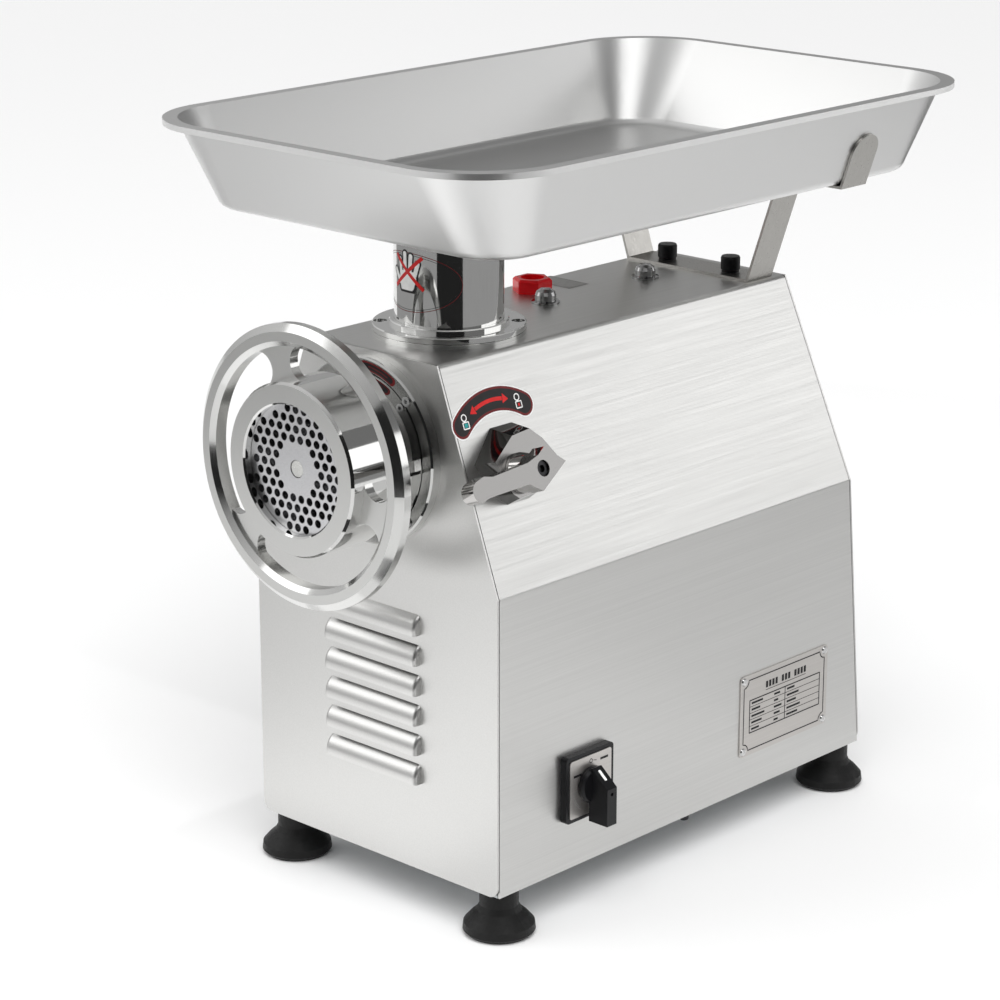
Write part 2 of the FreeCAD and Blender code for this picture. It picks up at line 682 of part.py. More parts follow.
def make_feed_tray():
    """Deep-drawn tray: sloping walls, flat rim and a spout that drops into the neck."""
    body = new_body("feed_tray", (0, D.tray_centre, 0))
    hole_y = NECK_Y - D.tray_centre

    def loft(kind, shrink, low, high):
        floor = new_sketch(body, "XY", low)
        add_rounded_box(floor, D.floor_half_x - shrink, D.floor_half_y - shrink,
                        D.floor_corner - shrink)
        mouth = new_sketch(body, "XY", high)
        add_rounded_box(mouth, D.mouth_half_x - shrink, D.mouth_half_y - shrink,
                        D.mouth_corner - shrink)
        feature = body.newObject(f"PartDesign::{kind}", f"tray_{kind}")
        feature.Profile = floor
        feature.Sections = [mouth]

    def edges_at(height):
        def lies_flat(edge):
            box = edge.BoundBox
            return max(abs(box.ZMax - height), abs(box.ZMin - height)) < 0.01
        return lies_flat

    loft("AdditiveLoft", as_size(0), D.tray_floor, D.tray_rim)
    loft("SubtractiveLoft", D.tray_sheet, D.tray_floor + D.tray_sheet, D.tray_rim + 0.01)
    round_edges(body, edges_at(float(D.tray_floor + D.tray_sheet)), D.floor_bend - D.tray_sheet)
    round_edges(body, edges_at(float(D.tray_floor)), D.floor_bend)
    rim = new_sketch(body, "XY", D.tray_rim)
    add_rounded_box(rim, D.rim_half_x, D.rim_half_y, D.rim_corner)
    add_rounded_box(rim, D.mouth_half_x - D.tray_sheet, D.mouth_half_y - D.tray_sheet,
                    D.mouth_corner - D.tray_sheet)
    pad(body, rim, D.tray_sheet, back=True)
    lip = new_sketch(body, "XY", D.tray_rim)
    add_rounded_box(lip, D.rim_half_x, D.rim_half_y, D.rim_corner)
    add_rounded_box(lip, D.rim_half_x - D.tray_sheet, D.rim_half_y - D.tray_sheet,
                    D.rim_corner - D.tray_sheet)
    pad(body, lip, 4, back=True)
    spout = new_sketch(body, "XY", D.tray_floor + D.tray_sheet)
    add_circle(spout, D.spout_radius, 0, hole_y)
    pad(body, spout, D.spout_length + D.tray_sheet, back=True)
    drill(body, D.spout_radius - D.tray_sheet, [(0, hole_y)], offset=D.tray_rim)


# ---------------------------------------------------------------- grinding head

NECK_LINE = D.front_reach - D.neck_setback
SEAT_BACK = D.barrel_back + 8
SEAT_SCREWS = [polar(58.4, 45 + 90 * i) for i in range(4)]
SEAT_FLANGE = 71.0
SEAT_FLANGE_SCREWS = [polar(65.5, 45 + 90 * i) for i in range(4)]
SCREW_M4 = 2.0
SCREW_M6 = 3.0
BUSH_WALL = 3.6
BUSH_LENGTH = 20
SEAL_WALL = 11
SEAT_FLOOR = 6


def make_head_seat():
    bore = D.barrel_radius + D.slide_gap
    seat = turned("head_seat", [
        (D.coupling_radius + SEAL_WALL, -SEAT_BACK), (SEAT_FLANGE, -SEAT_BACK),
        (SEAT_FLANGE, 10 - SEAT_BACK),
        (D.seat_radius, 10 - SEAT_BACK), (D.seat_radius, 0), (bore, 0),
        (bore, SEAT_FLOOR - SEAT_BACK),
        (D.coupling_radius + SEAL_WALL, SEAT_FLOOR - SEAT_BACK)], LINE, FORWARD)
    drill(seat, SCREW_M4 + 0.1, SEAT_SCREWS, length=14)
    side = new_sketch(seat, "XZ")
    add_circle(side, D.neck_radius + 0.6, 0, -NECK_LINE)
    pocket(seat, side, 100)
    flat = new_sketch(seat, "XY", -SEAT_BACK)
    add_rounded_box(flat, as_size(80), as_size(10), 1, 0, 74.5)
    pocket(seat, flat, 10.5, back=True)
    drill(seat, SCREW_M6 + 0.1, SEAT_FLANGE_SCREWS, offset=ABOVE - SEAT_BACK, length=30)
    return seat


def make_front_flange():
    depth = D.flange_depth
    bore = D.barrel_radius + D.slide_gap
    flange = turned("front_flange", [
        (bore, 0), (D.flange_radius, 0), (D.flange_radius, depth - 1.2),
        (D.flange_radius - 1.2, depth), (bore + 0.6, depth), (bore, depth - 0.6)], LINE, FORWARD)
    drill(flange, SCREW_M4 + 0.1, SEAT_SCREWS, offset=ABOVE)
    drill(flange, 3.6, SEAT_SCREWS, offset=ABOVE, length=ABOVE - 3)
    screws = []
    for index, (x, y) in enumerate(SEAT_SCREWS, start=1):
        at = (x, -D.front_reach, D.barrel_axis + y)
        screws.append(turned(f"flange_screw_{index}", [
            (0, -12), (SCREW_M4, -12), (SCREW_M4, 5), (3.4, 5), (3.4, 9), (1.5, 9),
            (1.5, 7), (0, 7)], at, FORWARD))
    group("flange_screws", screws)


RING_BACK = D.ring_front - D.ring_length
LIP_BACK = D.ring_front - D.ring_lip
PLATE_FRONT = LIP_BACK - 0.3
PLATE_BACK = PLATE_FRONT - D.plate_depth
KNIFE_FRONT = PLATE_BACK - 0.3
KNIFE_BACK = KNIFE_FRONT - D.knife_depth
BARREL_FRONT = PLATE_FRONT - 1.2
COUNTERBORE = KNIFE_BACK - 2
KEY_RADIUS = 2.4
KEY_AT = (0, 49.6)


def make_head_barrel():
    shank = D.auger_shank + BUSH_WALL
    barrel = turned("head_barrel", [
        (shank, -D.barrel_back), (D.barrel_radius - 2, -D.barrel_back),
        (D.barrel_radius, 2 - D.barrel_back), (D.barrel_radius, BARREL_FRONT - 1),
        (D.barrel_radius - 1, BARREL_FRONT), (D.plate_radius + 0.3, BARREL_FRONT),
        (D.plate_radius + 0.3, COUNTERBORE), (D.barrel_bore, COUNTERBORE),
        (D.barrel_bore, BUSH_LENGTH - D.barrel_back),
        (shank, BUSH_LENGTH - D.barrel_back)], LINE, FORWARD)
    feed = new_sketch(barrel, "XZ")
    add_circle(feed, 33, 0, -NECK_LINE)
    pocket(barrel, feed, 100)
    drill(barrel, KEY_RADIUS + 0.05, [KEY_AT], offset=BARREL_FRONT + 1, length=9.4)
    notch = new_sketch(barrel, "YZ", D.barrel_radius + 1)
    add_polygon(notch, [(-5, 8.5), (5, 8.5), (5, 21), (-5, 21)])
    pocket(barrel, notch, 4)


def make_barrel_bush():
    bored_disc("barrel_bush", D.auger_shank + BUSH_WALL, D.auger_shank + D.bearing_play,
               -D.barrel_back, BUSH_LENGTH - D.barrel_back, LINE, FORWARD)


def make_plate_key():
    key = new_body("plate_key_pin", LINE, FORWARD)
    circle = new_sketch(key, "XY", BARREL_FRONT - 8.2)
    add_circle(circle, KEY_RADIUS, *KEY_AT)
    pad(key, circle, 8)


def plate_lattice():
    """Mincing holes on a triangular lattice, between the plate's hub and its solid edge."""
    pitch = float(D.plate_pitch)
    reach = round(float(D.plate_radius) / pitch)
    spots = []
    for row in range(-reach, reach + 1):
        for column in range(-2 * reach, 2 * reach + 1):
            x = pitch * (column + row / 2)
            y = pitch * row * math.sin(math.radians(60))
            if float(D.plate_holes_from) < math.hypot(x, y) < float(D.plate_holes_to):
                spots.append((x, y))
    return spots


def make_grinding_plate():
    edge = 0.5
    disc = turned("grinding_plate", [
        (D.plate_bore, PLATE_BACK), (D.plate_radius - edge, PLATE_BACK),
        (D.plate_radius, PLATE_BACK + edge), (D.plate_radius, PLATE_FRONT - edge),
        (D.plate_radius - edge, PLATE_FRONT), (D.plate_bore, PLATE_FRONT)], LINE, FORWARD)
    drill(disc, D.plate_hole, plate_lattice(), offset=D.ring_front)
    drill(disc, KEY_RADIUS + 0.2, [KEY_AT], offset=D.ring_front)


KNIFE_SQUARE = 15.0


def make_cutting_knife():
    knife = new_body("cutting_knife", LINE, FORWARD)
    hub = new_sketch(knife, "XY", KNIFE_BACK)
    add_circle(hub, 16.5)
    pad(knife, hub, D.knife_depth)
    blade = new_sketch(knife, "XY", KNIFE_BACK)
    add_outline(blade, [(6, -8), (34, -12.5), (46.5, -3.5), (43, 4), (32, 1.5), (6, 11)],
                {0: (22, -8.2), 1: (42.6, -9.4), 4: (19, 3)})
    arm = pad(knife, blade, D.knife_depth)
    relief = new_sketch(knife, "XY", KNIFE_BACK)
    add_polygon(relief, [(24, -14), (48, -14), (48, -5), (24, -8)])
    thin = pocket(knife, relief, 4, back=True)
    repeat_round(knife, [arm, thin], 4)
    square = new_sketch(knife, "XY", KNIFE_FRONT + 1)
    half = KNIFE_SQUARE / 2 + 0.1
    add_polygon(square, [(-half, -half), (half, -half), (half, half), (-half, half)])
    pocket(knife, square)


TANG_WIDTH = 24.0
TANG_THICK = 9.6
TANG_BACK = D.barrel_back + 18
FLIGHT_PITCH = 42.0
FLIGHT_START = 27 - D.barrel_back
FLIGHT_LENGTH = KNIFE_BACK - 4 - FLIGHT_START


def make_auger():
    """Feed screw: thrust collar and shank behind, tapered core, square nose and front pin."""
    pin = D.plate_bore - D.bearing_play
    collar_back = BUSH_LENGTH + 0.3 - D.barrel_back
    auger = turned("auger", [
        (0, -D.barrel_back - 1.5), (D.auger_shank, -D.barrel_back - 1.5),
        (D.auger_shank, collar_back), (D.auger_radius, collar_back),
        (D.auger_radius, 28 - D.barrel_back), (19, 34 - D.barrel_back),
        (15, KNIFE_BACK - 1), (10.9, KNIFE_BACK - 0.2), (KNIFE_SQUARE / 2 - 0.6, KNIFE_BACK),
        (pin, KNIFE_FRONT), (pin, PLATE_FRONT - 1), (pin - 0.6, PLATE_FRONT - 0.4),
        (0, PLATE_FRONT - 0.4)], LINE, FORWARD)
    flight = new_sketch(auger, "XZ")
    thick = 5.0
    low = FLIGHT_START
    add_polygon(flight, [(12, low), (D.auger_radius, low + 1), (D.auger_radius, low + thick - 1),
                         (12, low + thick + 3)])
    helix = auger.newObject("PartDesign::AdditiveHelix", "auger_flight")
    helix.Profile = flight
    helix.ReferenceAxis = (next(f for f in auger.Origin.OriginFeatures if f.Role == "Z_Axis"), [""])
    helix.Mode = "pitch-height-angle"
    helix.Pitch = FLIGHT_PITCH
    bind(helix, "Height", FLIGHT_LENGTH - 9)
    helix.LeftHanded = True
    nose = new_sketch(auger, "XY", KNIFE_BACK - 2)
    half = KNIFE_SQUARE / 2
    add_polygon(nose, [(-half, -half), (half, -half), (half, half), (-half, half)])
    pad(auger, nose, D.knife_depth + 2)
    tang = new_sketch(auger, "XY", -TANG_BACK)
    wide = TANG_WIDTH / 2
    deep = TANG_THICK / 2
    add_polygon(tang, [(-wide, -deep), (wide, -deep), (wide, deep), (-wide, deep)])
    pad(auger, tang, TANG_BACK - D.barrel_back)


def make_ring_nut():
    outer = D.ring_radius
    bore = D.barrel_radius + D.slide_gap - 0.1
    turned("ring_nut", [
        (bore, RING_BACK), (outer - 1, RING_BACK), (outer, RING_BACK + 1),
        (outer, D.ring_front - 2), (outer - 1.4, D.ring_front), (D.ring_opening + 1.2, D.ring_front),
        (D.ring_opening, D.ring_front - 1.2), (D.ring_opening, LIP_BACK), (bore, LIP_BACK)],
        LINE, FORWARD)


SPOKES = 3
FIRST_SPOKE = 105


def make_hand_wheel():
    """Bevelled rim and three flared spokes that are welded to the ring nut."""
    mid = D.wheel_plane
    wheel = turned("hand_wheel", [
        (D.wheel_inner, mid - 7), (D.wheel_inner + 2, mid - 9), (D.wheel_radius - 4, mid - 9),
        (D.wheel_radius, mid - 5), (D.wheel_radius, mid + 1), (D.wheel_radius - 5, mid + 5),
        (D.wheel_inner + 3.5, mid + 5), (D.wheel_inner, mid + 2)], LINE, FORWARD)
    spoke = new_sketch(wheel, "XY", mid - 7)
    inner = float(D.ring_radius)
    outer = float(D.wheel_inner) + 1.5
    hub_half = 20.0
    waist = 9.5
    rim_half = 24.0
    middle = (inner + outer) / 2

    def both_sides(radius, half_width):
        swing = math.degrees(half_width / radius)
        return [polar(radius, FIRST_SPOKE + side * swing) for side in (-1, 1)]

    roots = both_sides(inner, hub_half)
    tips = both_sides(outer, rim_half)
    waists = both_sides(middle, waist)
    add_outline(spoke, [roots[0], tips[0], tips[1], roots[1]], {
        0: waists[0], 1: polar(outer, FIRST_SPOKE), 2: waists[1], 3: polar(inner, FIRST_SPOKE)})
    arm = pad(wheel, spoke, 7)
    repeat_round(wheel, [arm], SPOKES)


# ---------------------------------------------------------------- head lock and switch

LOCK_REACH = 33.5
LOCK_SHAFT = 9.0
LEVER_LOW = 28.0
LEVER_HIGH = 39.0


LOCK_BLOCK_HEIGHT = 17
LOCK_FOOT = [(41, 1.5), (30, 25.3), (20.6, 32.8), (0, 32.8), (-22, 12.5), (-10.9, -11.1),
             (-1.6, -18.6), (19, -18.6)]
LOCK_TOP = [(37, 5), (28, 18), (18.6, 26.3), (1.3, 24.9), (-19, 11.5), (-11, -11.5),
            (-6, -15.8), (12.5, -14.6)]


def make_lock():
    """Faceted block on the slanted side, the cam shaft through it and the lever on its end."""
    block = new_body("lock_block", LOCK_AT, SLANTED)
    foot = new_sketch(block)
    add_polygon(foot, LOCK_FOOT)
    top = new_sketch(block, "XY", LOCK_BLOCK_HEIGHT)
    add_polygon(top, LOCK_TOP)
    loft = block.newObject("PartDesign::AdditiveLoft", "lock_block_loft")
    loft.Profile = foot
    loft.Sections = [top]
    loft.Ruled = True
    drill(block, LOCK_SHAFT + 0.3, [(0, 0)], offset=30)

    turned("lock_shaft", [
        (0, -LOCK_REACH), (6, -LOCK_REACH), (6, -12), (LOCK_SHAFT, -12), (LOCK_SHAFT, LEVER_LOW),
        (3.5, LEVER_LOW), (3.5, LEVER_HIGH - 6), (0, LEVER_HIGH - 6)], LOCK_AT, SLANTED)

    lever = new_body("lock_lever", LOCK_AT, SLANTED)
    outline = new_sketch(lever, "XY", LEVER_LOW)
    end = -D.lever_length
    add_outline(outline, [(-9, -11.7), (-4.7, -14), (21.5, 0.5), (5.3, 13.5), (-1.6, 9.3),
                          (-12.7, 6.3), (end + 20.5, 4.2), (end + 12.5, 6), (end + 6, 4.3),
                          (end + 6.7, -10), (end + 12, -8.4), (end + 19, -8), (-16, -7.3)],
                {8: (end, -3.4)})
    pad(lever, outline, LEVER_HIGH - LEVER_LOW)
    hub = new_sketch(lever, "XZ")
    bore = LOCK_SHAFT + 0.05
    hub_low = LOCK_BLOCK_HEIGHT + 0.3
    add_polygon(hub, [(bore, hub_low), (13.5, hub_low), (13.5, 20), (11.5, LEVER_LOW),
                      (bore, LEVER_LOW)])
    revolve(lever, hub)
    drill(lever, 3.6, [(0, 0)], offset=60)
    drill(lever, 5.5, [(0, 0)], offset=60, length=60 - LEVER_HIGH + 4.5)
    turned("lever_screw", [
        (0, LEVER_HIGH - 5.9), (3.45, LEVER_HIGH - 5.9), (3.45, LEVER_HIGH - 4.4),
        (5.2, LEVER_HIGH - 4.4), (5.2, LEVER_HIGH - 1.6), (2.5, LEVER_HIGH - 1.6),
        (2.5, LEVER_HIGH - 3.6), (0, LEVER_HIGH - 3.6)], LOCK_AT, SLANTED)


GRIP_REACH = 25.7


def make_switch():
    """Square rotary switch: contact block inside, face plate and a bar knob with a bevelled top."""
    half = D.switch_side / 2
    base = plate("switch_base", half, half, 5.5, as_size(3), SWITCH_AT, SIDEWAYS)
    drill(base, 9, [(0, 0)], offset=ABOVE)
    body = plate("switch_contact_block", half - 3.5, half - 3.5, 58, as_size(2),
                 (D.casing_width / 2 - 58, -D.switch_setback, D.switch_height), SIDEWAYS)
    drill(body, 4.2, [(0, 0)], offset=60, length=40)
    face = plate("switch_face_plate", half - 3, half - 3, 0.8, as_size(2), (
        D.casing_width / 2 + 5.5, -D.switch_setback, D.switch_height), SIDEWAYS)
    drill(face, 9, [(0, 0)], offset=ABOVE)
    knob = turned("switch_knob", [
        (0, -30), (4, -30), (4, 4), (8, 4), (8, 6.6), (13, 6.6), (13, 9.5), (11.5, 11), (0, 11)],
        SWITCH_AT, SIDEWAYS)
    grip = new_sketch(knob, "YZ")
    low = -25.3
    add_polygon(grip, [(low, 9), (12.5, 9), (13.5, 11.5), (1.5, GRIP_REACH), (low, GRIP_REACH)])
    pad(knob, grip, 9.6, both=True)
    drill(knob, 1.3, [(0, -2.6)], offset=GRIP_REACH + 1, length=2.5)


def make_rating_plate():
    at = (D.casing_width / 2, PLATE_Y, PLATE_Z)
    board = plate("rating_plate", D.rating_plate_width / 2, D.rating_plate_height / 2, 0.8,
                  as_size(3), at, SIDEWAYS)
    drill(board, RIVET_HOLE, RIVETS, offset=10)
    rivets = []
    for index, (y, z) in enumerate(RIVETS, start=1):
        shank = RIVET_HOLE - 0.1
        rivets.append(turned(f"plate_rivet_{index}", [
            (0, -3), (2.4, -3), (2.4, -1.7), (shank, -1.7), (shank, 0.8), (3, 0.8), (2.4, 1.8),
            (0, 2.2)], (D.casing_width / 2, PLATE_Y + y, PLATE_Z + z), SIDEWAYS))
    group("plate_rivets", rivets)


# ---------------------------------------------------------------- gearbox

PRESSURE = math.radians(20)
TOOTH_UP = 90
TOOTH_DOWN = 270


def involute(angle):
    return math.tan(angle) - angle


def gear_wire(module, teeth, first_tooth):
    """Involute spur outline; first_tooth is the direction of one tooth in degrees."""
    pitch_radius = module * teeth / 2
    base = pitch_radius * math.cos(PRESSURE)
    tip = pitch_radius + 0.95 * module
    root = pitch_radius - 1.25 * module
    start = max(base, root + 0.05 * module)
    half_pitch = math.pi / 2 / teeth - float(D.tooth_play) / pitch_radius

    def half_angle(radius):
        pressure = math.acos(base / radius)
        return half_pitch + involute(PRESSURE) - involute(pressure)

    def at(radius, angle):
        return Vector(radius * math.cos(angle), radius * math.sin(angle), 0)

    flank = [start, (start + tip) / 2, tip]
    edges = []
    step = 2 * math.pi / teeth
    for i in range(teeth):
        mid = math.radians(first_tooth) + i * step
        foot = half_angle(start)
        rise = [at(r, mid - half_angle(r)) for r in flank]
        fall = [at(r, mid + half_angle(r)) for r in reversed(flank)]
        foot_up = at(root, mid - foot)
        foot_down = at(root, mid + foot)
        after = at(root, mid + step - foot)
        edges += [Part.makeLine(foot_up, rise[0]), Part.Arc(*rise).toShape(),
                  Part.Arc(rise[2], at(tip, mid), fall[0]).toShape(), Part.Arc(*fall).toShape(),
                  Part.makeLine(fall[2], foot_down),
                  Part.Arc(foot_down, at(root, mid + step / 2), after).toShape()]
    return Part.Wire(edges)


def make_gear(label, module, teeth, face, bore, at, first_tooth):
    """Spur gear on a horizontal shaft; teeth cannot be sketched with a plain profile."""
    disc = Part.Face(gear_wire(float(module), int(float(teeth)), first_tooth))
    solid = disc.extrude(Vector(0, 0, float(face)))
    hole = Part.makeCylinder(float(bore), float(face) + 2, Vector(0, 0, -1))
    gear = doc.addObject("Part::Feature", label)
    gear.Label = label
    gear.Shape = solid.cut(hole)
    place(gear, at, FORWARD)
    PIECES.append(gear)


# own Z of every shaft frame points forward, so a depth is minus the world Y of its face
OUTPUT_AT = (0, 0, D.barrel_axis)
IDLER_AT = (0, 0, D.idler_axis)
MOTOR_AT = (0, 0, D.motor_axis)
BOX_CENTRE = (D.barrel_axis + D.motor_axis) / 2 + 18
BOX_CORNER = 22
BOX_INNER_FRONT = D.box_front - 10
ARM_BACK = 106
OUTPUT_BEARING_WALL = 10.5
SHAFT_BEARING_WALL = 9
MOTOR_BEARING_WALL = 11
COVER_SCREWS = [(sx * 57, z) for sx in (-1, 1) for z in (278, 345)]
FRONT_SCREWS = [(x, D.barrel_axis + y) for x, y in SEAT_FLANGE_SCREWS]


def make_gearbox_housing():
    """Cast box open at the back, with a rearward arm on top for the second stud."""
    box = new_body("gearbox_housing", (0, 0, 0), FORWARD)
    half_tall = D.casing_top - D.sheet - 1 - BOX_CENTRE
    outline = new_sketch(box, "XY", -D.box_back)
    add_rounded_box(outline, D.box_half, half_tall, BOX_CORNER, 0, BOX_CENTRE)
    pad(box, outline, D.box_front + D.box_back)
    cavity = new_sketch(box, "XY", -D.box_back)
    wall = D.box_wall
    add_rounded_box(cavity, D.box_half - wall, half_tall - wall, BOX_CORNER - wall, 0, BOX_CENTRE)
    pocket(box, cavity, BOX_INNER_FRONT + D.box_back, back=True)
    top = BOX_CENTRE + half_tall
    arm = new_sketch(box, "XY", -ARM_BACK)
    add_polygon(arm, [(-27, top - 12), (13, top - 12), (13, top), (-27, top)])
    pad(box, arm, ARM_BACK - D.box_back)
    drill(box, D.coupling_radius + OUTPUT_BEARING_WALL, [(0, D.barrel_axis)],
          offset=D.box_front + 1, length=12)
    drill(box, D.idler_radius + SHAFT_BEARING_WALL, [(0, D.idler_axis)],
          offset=BOX_INNER_FRONT + 6, length=8)
    drill(box, SCREW_M6 + 0.1, COVER_SCREWS, offset=-D.box_back, length=16, back=True)
    drill(box, SCREW_M6 + 0.1, FRONT_SCREWS, offset=D.box_front + 1, length=9)
    plan = new_sketch(box, "XZ", -(D.casing_top + 5))
    for x, y in STUDS:
        add_circle(plan, STUD_HOLE, x, -y)
    pocket(box, plan, 24, back=True)
    filler = new_sketch(box, "XZ", -(D.casing_top + 5))
    add_circle(filler, OIL_HOLE, OIL_PLUG[0], -OIL_PLUG[1])
    pocket(box, filler, 30, back=True)


def make_gearbox_cover():
    cover = new_body("gearbox_cover", (0, 0, 0), FORWARD)
    half_tall = D.casing_top - D.sheet - 14 - BOX_CENTRE
    outline = new_sketch(cover, "XY", -D.box_back - D.cover_depth)
    add_rounded_box(outline, D.box_half, half_tall, BOX_CORNER - 2, 0, BOX_CENTRE)
    pad(cover, outline, D.cover_depth)
    ring = new_sketch(cover, "XY", -D.box_back - D.cover_depth)
    add_circle(ring, D.motor_radius, 0, D.motor_axis)
    pad(cover, ring, D.cover_depth)
    front = 1 - D.box_back
    for radius, height in ((D.output_radius, D.barrel_axis), (D.idler_radius, D.idler_axis)):
        drill(cover, radius + SHAFT_BEARING_WALL, [(0, height)], offset=front, length=7)
    drill(cover, D.motor_shaft_radius + MOTOR_BEARING_WALL, [(0, D.motor_axis)], offset=front,
          length=30)
    drill(cover, SCREW_M6 + 0.1, COVER_SCREWS, offset=front, length=30)
    screws = []
    for index, (x, z) in enumerate(COVER_SCREWS, start=1):
        screws.append(turned(f"cover_screw_{index}", [
            (0, -16), (5, -16), (5, -11), (SCREW_M6, -11), (SCREW_M6, 4), (0, 4)],
            (x, D.box_back - 3, z), FORWARD))
    for index, (x, z) in enumerate(FRONT_SCREWS, start=1):
        screws.append(turned(f"seat_screw_{index}", [
            (0, -8), (SCREW_M6, -8), (SCREW_M6, 10), (4.6, 10), (4.6, 14), (0, 14)],
            (x, -D.box_front, z), FORWARD))
    group("gearbox_screws", screws)


# ---------------------------------------------------------------- shafts, gears and motor

COUPLING_FACE = D.box_front + 5.7
HEAD_DEPTH = 17.2
REAR_SEAT = D.box_back + 6
MOTOR_FRONT = D.box_back + D.cover_depth
MOTOR_BACK = MOTOR_FRONT + 104
BELL_DEPTH = 8
MOTOR_WALL = 5.7
FAN_ROOM = 13


def make_output_shaft():
    low = COUPLING_FACE - HEAD_DEPTH
    shaft = turned("output_shaft", [
        (0, 0.3 - REAR_SEAT), (D.output_radius, 0.3 - REAR_SEAT), (D.output_radius, low),
        (D.coupling_radius, low), (D.coupling_radius, COUPLING_FACE), (0, COUPLING_FACE)],
        OUTPUT_AT, FORWARD)
    slot = new_sketch(shaft, "XY", COUPLING_FACE + 1)
    add_polygon(slot, [(-12.4, -5.1), (12.4, -5.1), (12.4, 5.1), (-12.4, 5.1)])
    pocket(shaft, slot, 17)
    make_gear("output_gear", D.slow_module, D.output_teeth, D.slow_face, D.output_radius,
              (0, D.slow_gear_back, D.barrel_axis), TOOTH_DOWN + 180 / float(D.output_teeth))


def make_idler_shaft():
    turned("idler_shaft", [
        (0, 0.3 - REAR_SEAT), (D.idler_radius, 0.3 - REAR_SEAT),
        (D.idler_radius, BOX_INNER_FRONT + 5.6), (0, BOX_INNER_FRONT + 5.6)], IDLER_AT, FORWARD)
    make_gear("idler_gear", D.fast_module, D.idler_teeth, D.fast_face, D.idler_radius,
              (0, D.fast_gear_back, D.idler_axis), TOOTH_DOWN + 180 / float(D.idler_teeth))
    make_gear("idler_pinion", D.slow_module, D.pinion_teeth, D.slow_face, D.idler_radius,
              (0, D.slow_gear_back, D.idler_axis), TOOTH_UP)


def make_bearings():
    play = D.bearing_play
    front = BOX_INNER_FRONT
    back = -REAR_SEAT + 0.1
    group("output_bearings", [
        bored_disc("output_bearing_front", D.coupling_radius + OUTPUT_BEARING_WALL,
                   D.coupling_radius + play, front + 0.3, D.box_front - 0.3, OUTPUT_AT, FORWARD),
        bored_disc("output_bearing_rear", D.output_radius + SHAFT_BEARING_WALL,
                   D.output_radius + play, back, 0.1 - D.box_back, OUTPUT_AT, FORWARD)])
    group("idler_bearings", [
        bored_disc("idler_bearing_front", D.idler_radius + SHAFT_BEARING_WALL,
                   D.idler_radius + play, front + 0.1, front + 5.9, IDLER_AT, FORWARD),
        bored_disc("idler_bearing_rear", D.idler_radius + SHAFT_BEARING_WALL,
                   D.idler_radius + play, back, 0.1 - D.box_back, IDLER_AT, FORWARD)])
    group("motor_bearings", [
        bored_disc("motor_bearing_front", D.motor_shaft_radius + MOTOR_BEARING_WALL,
                   D.motor_shaft_radius + play, -MOTOR_FRONT, -D.box_back, MOTOR_AT, FORWARD),
        bored_disc("motor_bearing_rear", D.motor_shaft_radius + MOTOR_BEARING_WALL,
                   D.motor_shaft_radius + play, -MOTOR_BACK - BELL_DEPTH, -MOTOR_BACK,
                   MOTOR_AT, FORWARD)])
    bored_disc("output_seal", D.coupling_radius + SEAL_WALL, D.coupling_radius + 0.3,
               D.box_front + 0.5, D.box_front + 5.5, OUTPUT_AT, FORWARD)


def make_motor():
    inside = D.motor_radius - MOTOR_WALL
    stator_front = -MOTOR_FRONT - 12
    stator_back = stator_front - D.stator_length
    bored_disc("motor_housing", D.motor_radius, inside, -MOTOR_BACK, -MOTOR_FRONT,
               MOTOR_AT, FORWARD)
    bell = bored_disc("motor_end_bell", D.motor_radius, D.motor_shaft_radius + MOTOR_BEARING_WALL,
                      -MOTOR_BACK - BELL_DEPTH, -MOTOR_BACK, MOTOR_AT, FORWARD)
    vents = drill(bell, 7, [(46, 0)], offset=5 - MOTOR_BACK)
    repeat_round(bell, [vents], 8)
    bored_disc("stator_core", inside, D.rotor_radius + 0.6, stator_back, stator_front,
               MOTOR_AT, FORWARD)
    ring = [(D.rotor_radius + 4, 0.2), (60, 0.2), (60, 5), (56, 9), (D.rotor_radius + 8, 9),
            (D.rotor_radius + 4, 5)]
    group("stator_windings", [
        turned("winding_front", [(r, stator_front + z) for r, z in ring], MOTOR_AT, FORWARD),
        turned("winding_rear", [(r, stator_back - z) for r, z in ring], MOTOR_AT, FORWARD)])
    bored_disc("rotor_core", D.rotor_radius, D.motor_shaft_radius, stator_back, stator_front,
               MOTOR_AT, FORWARD)
    shaft_back = -MOTOR_BACK - BELL_DEPTH - FAN_ROOM
    turned("motor_shaft", [
        (0, shaft_back), (D.motor_shaft_radius, shaft_back), (D.motor_shaft_radius, -9),
        (0, -9)], MOTOR_AT, FORWARD)
    make_gear("motor_pinion", D.fast_module, D.motor_teeth, D.fast_face, D.motor_shaft_radius,
              (0, D.fast_gear_back, D.motor_axis), TOOTH_UP)
    make_fan(shaft_back)
    cover_front = -MOTOR_BACK - BELL_DEPTH
    cover_low = shaft_back - 3
    cover_radius = D.motor_radius - 2
    cover = turned("fan_cover", [
        (cover_radius, cover_front), (cover_radius - D.sheet, cover_front),
        (cover_radius - D.sheet, cover_low + D.sheet), (0, cover_low + D.sheet), (0, cover_low),
        (cover_radius, cover_low)], MOTOR_AT, FORWARD)
    for radius, count in [(24, 8), (40, 12), (55, 16)]:
        hole = drill(cover, 4, [(radius, 0)], offset=cover_low + 1, length=5)
        repeat_round(cover, [hole], count)


def make_fan(low):
    fan = bored_disc("cooling_fan", 16, D.motor_shaft_radius, low, low + 11, MOTOR_AT, FORWARD)
    blade = new_sketch(fan, "XY", low)
    add_polygon(blade, [(14, -1.2), (62, -1.2), (62, 1.2), (14, 1.2)])
    arm = pad(fan, blade, 10)
    repeat_round(fan, [arm], 8)


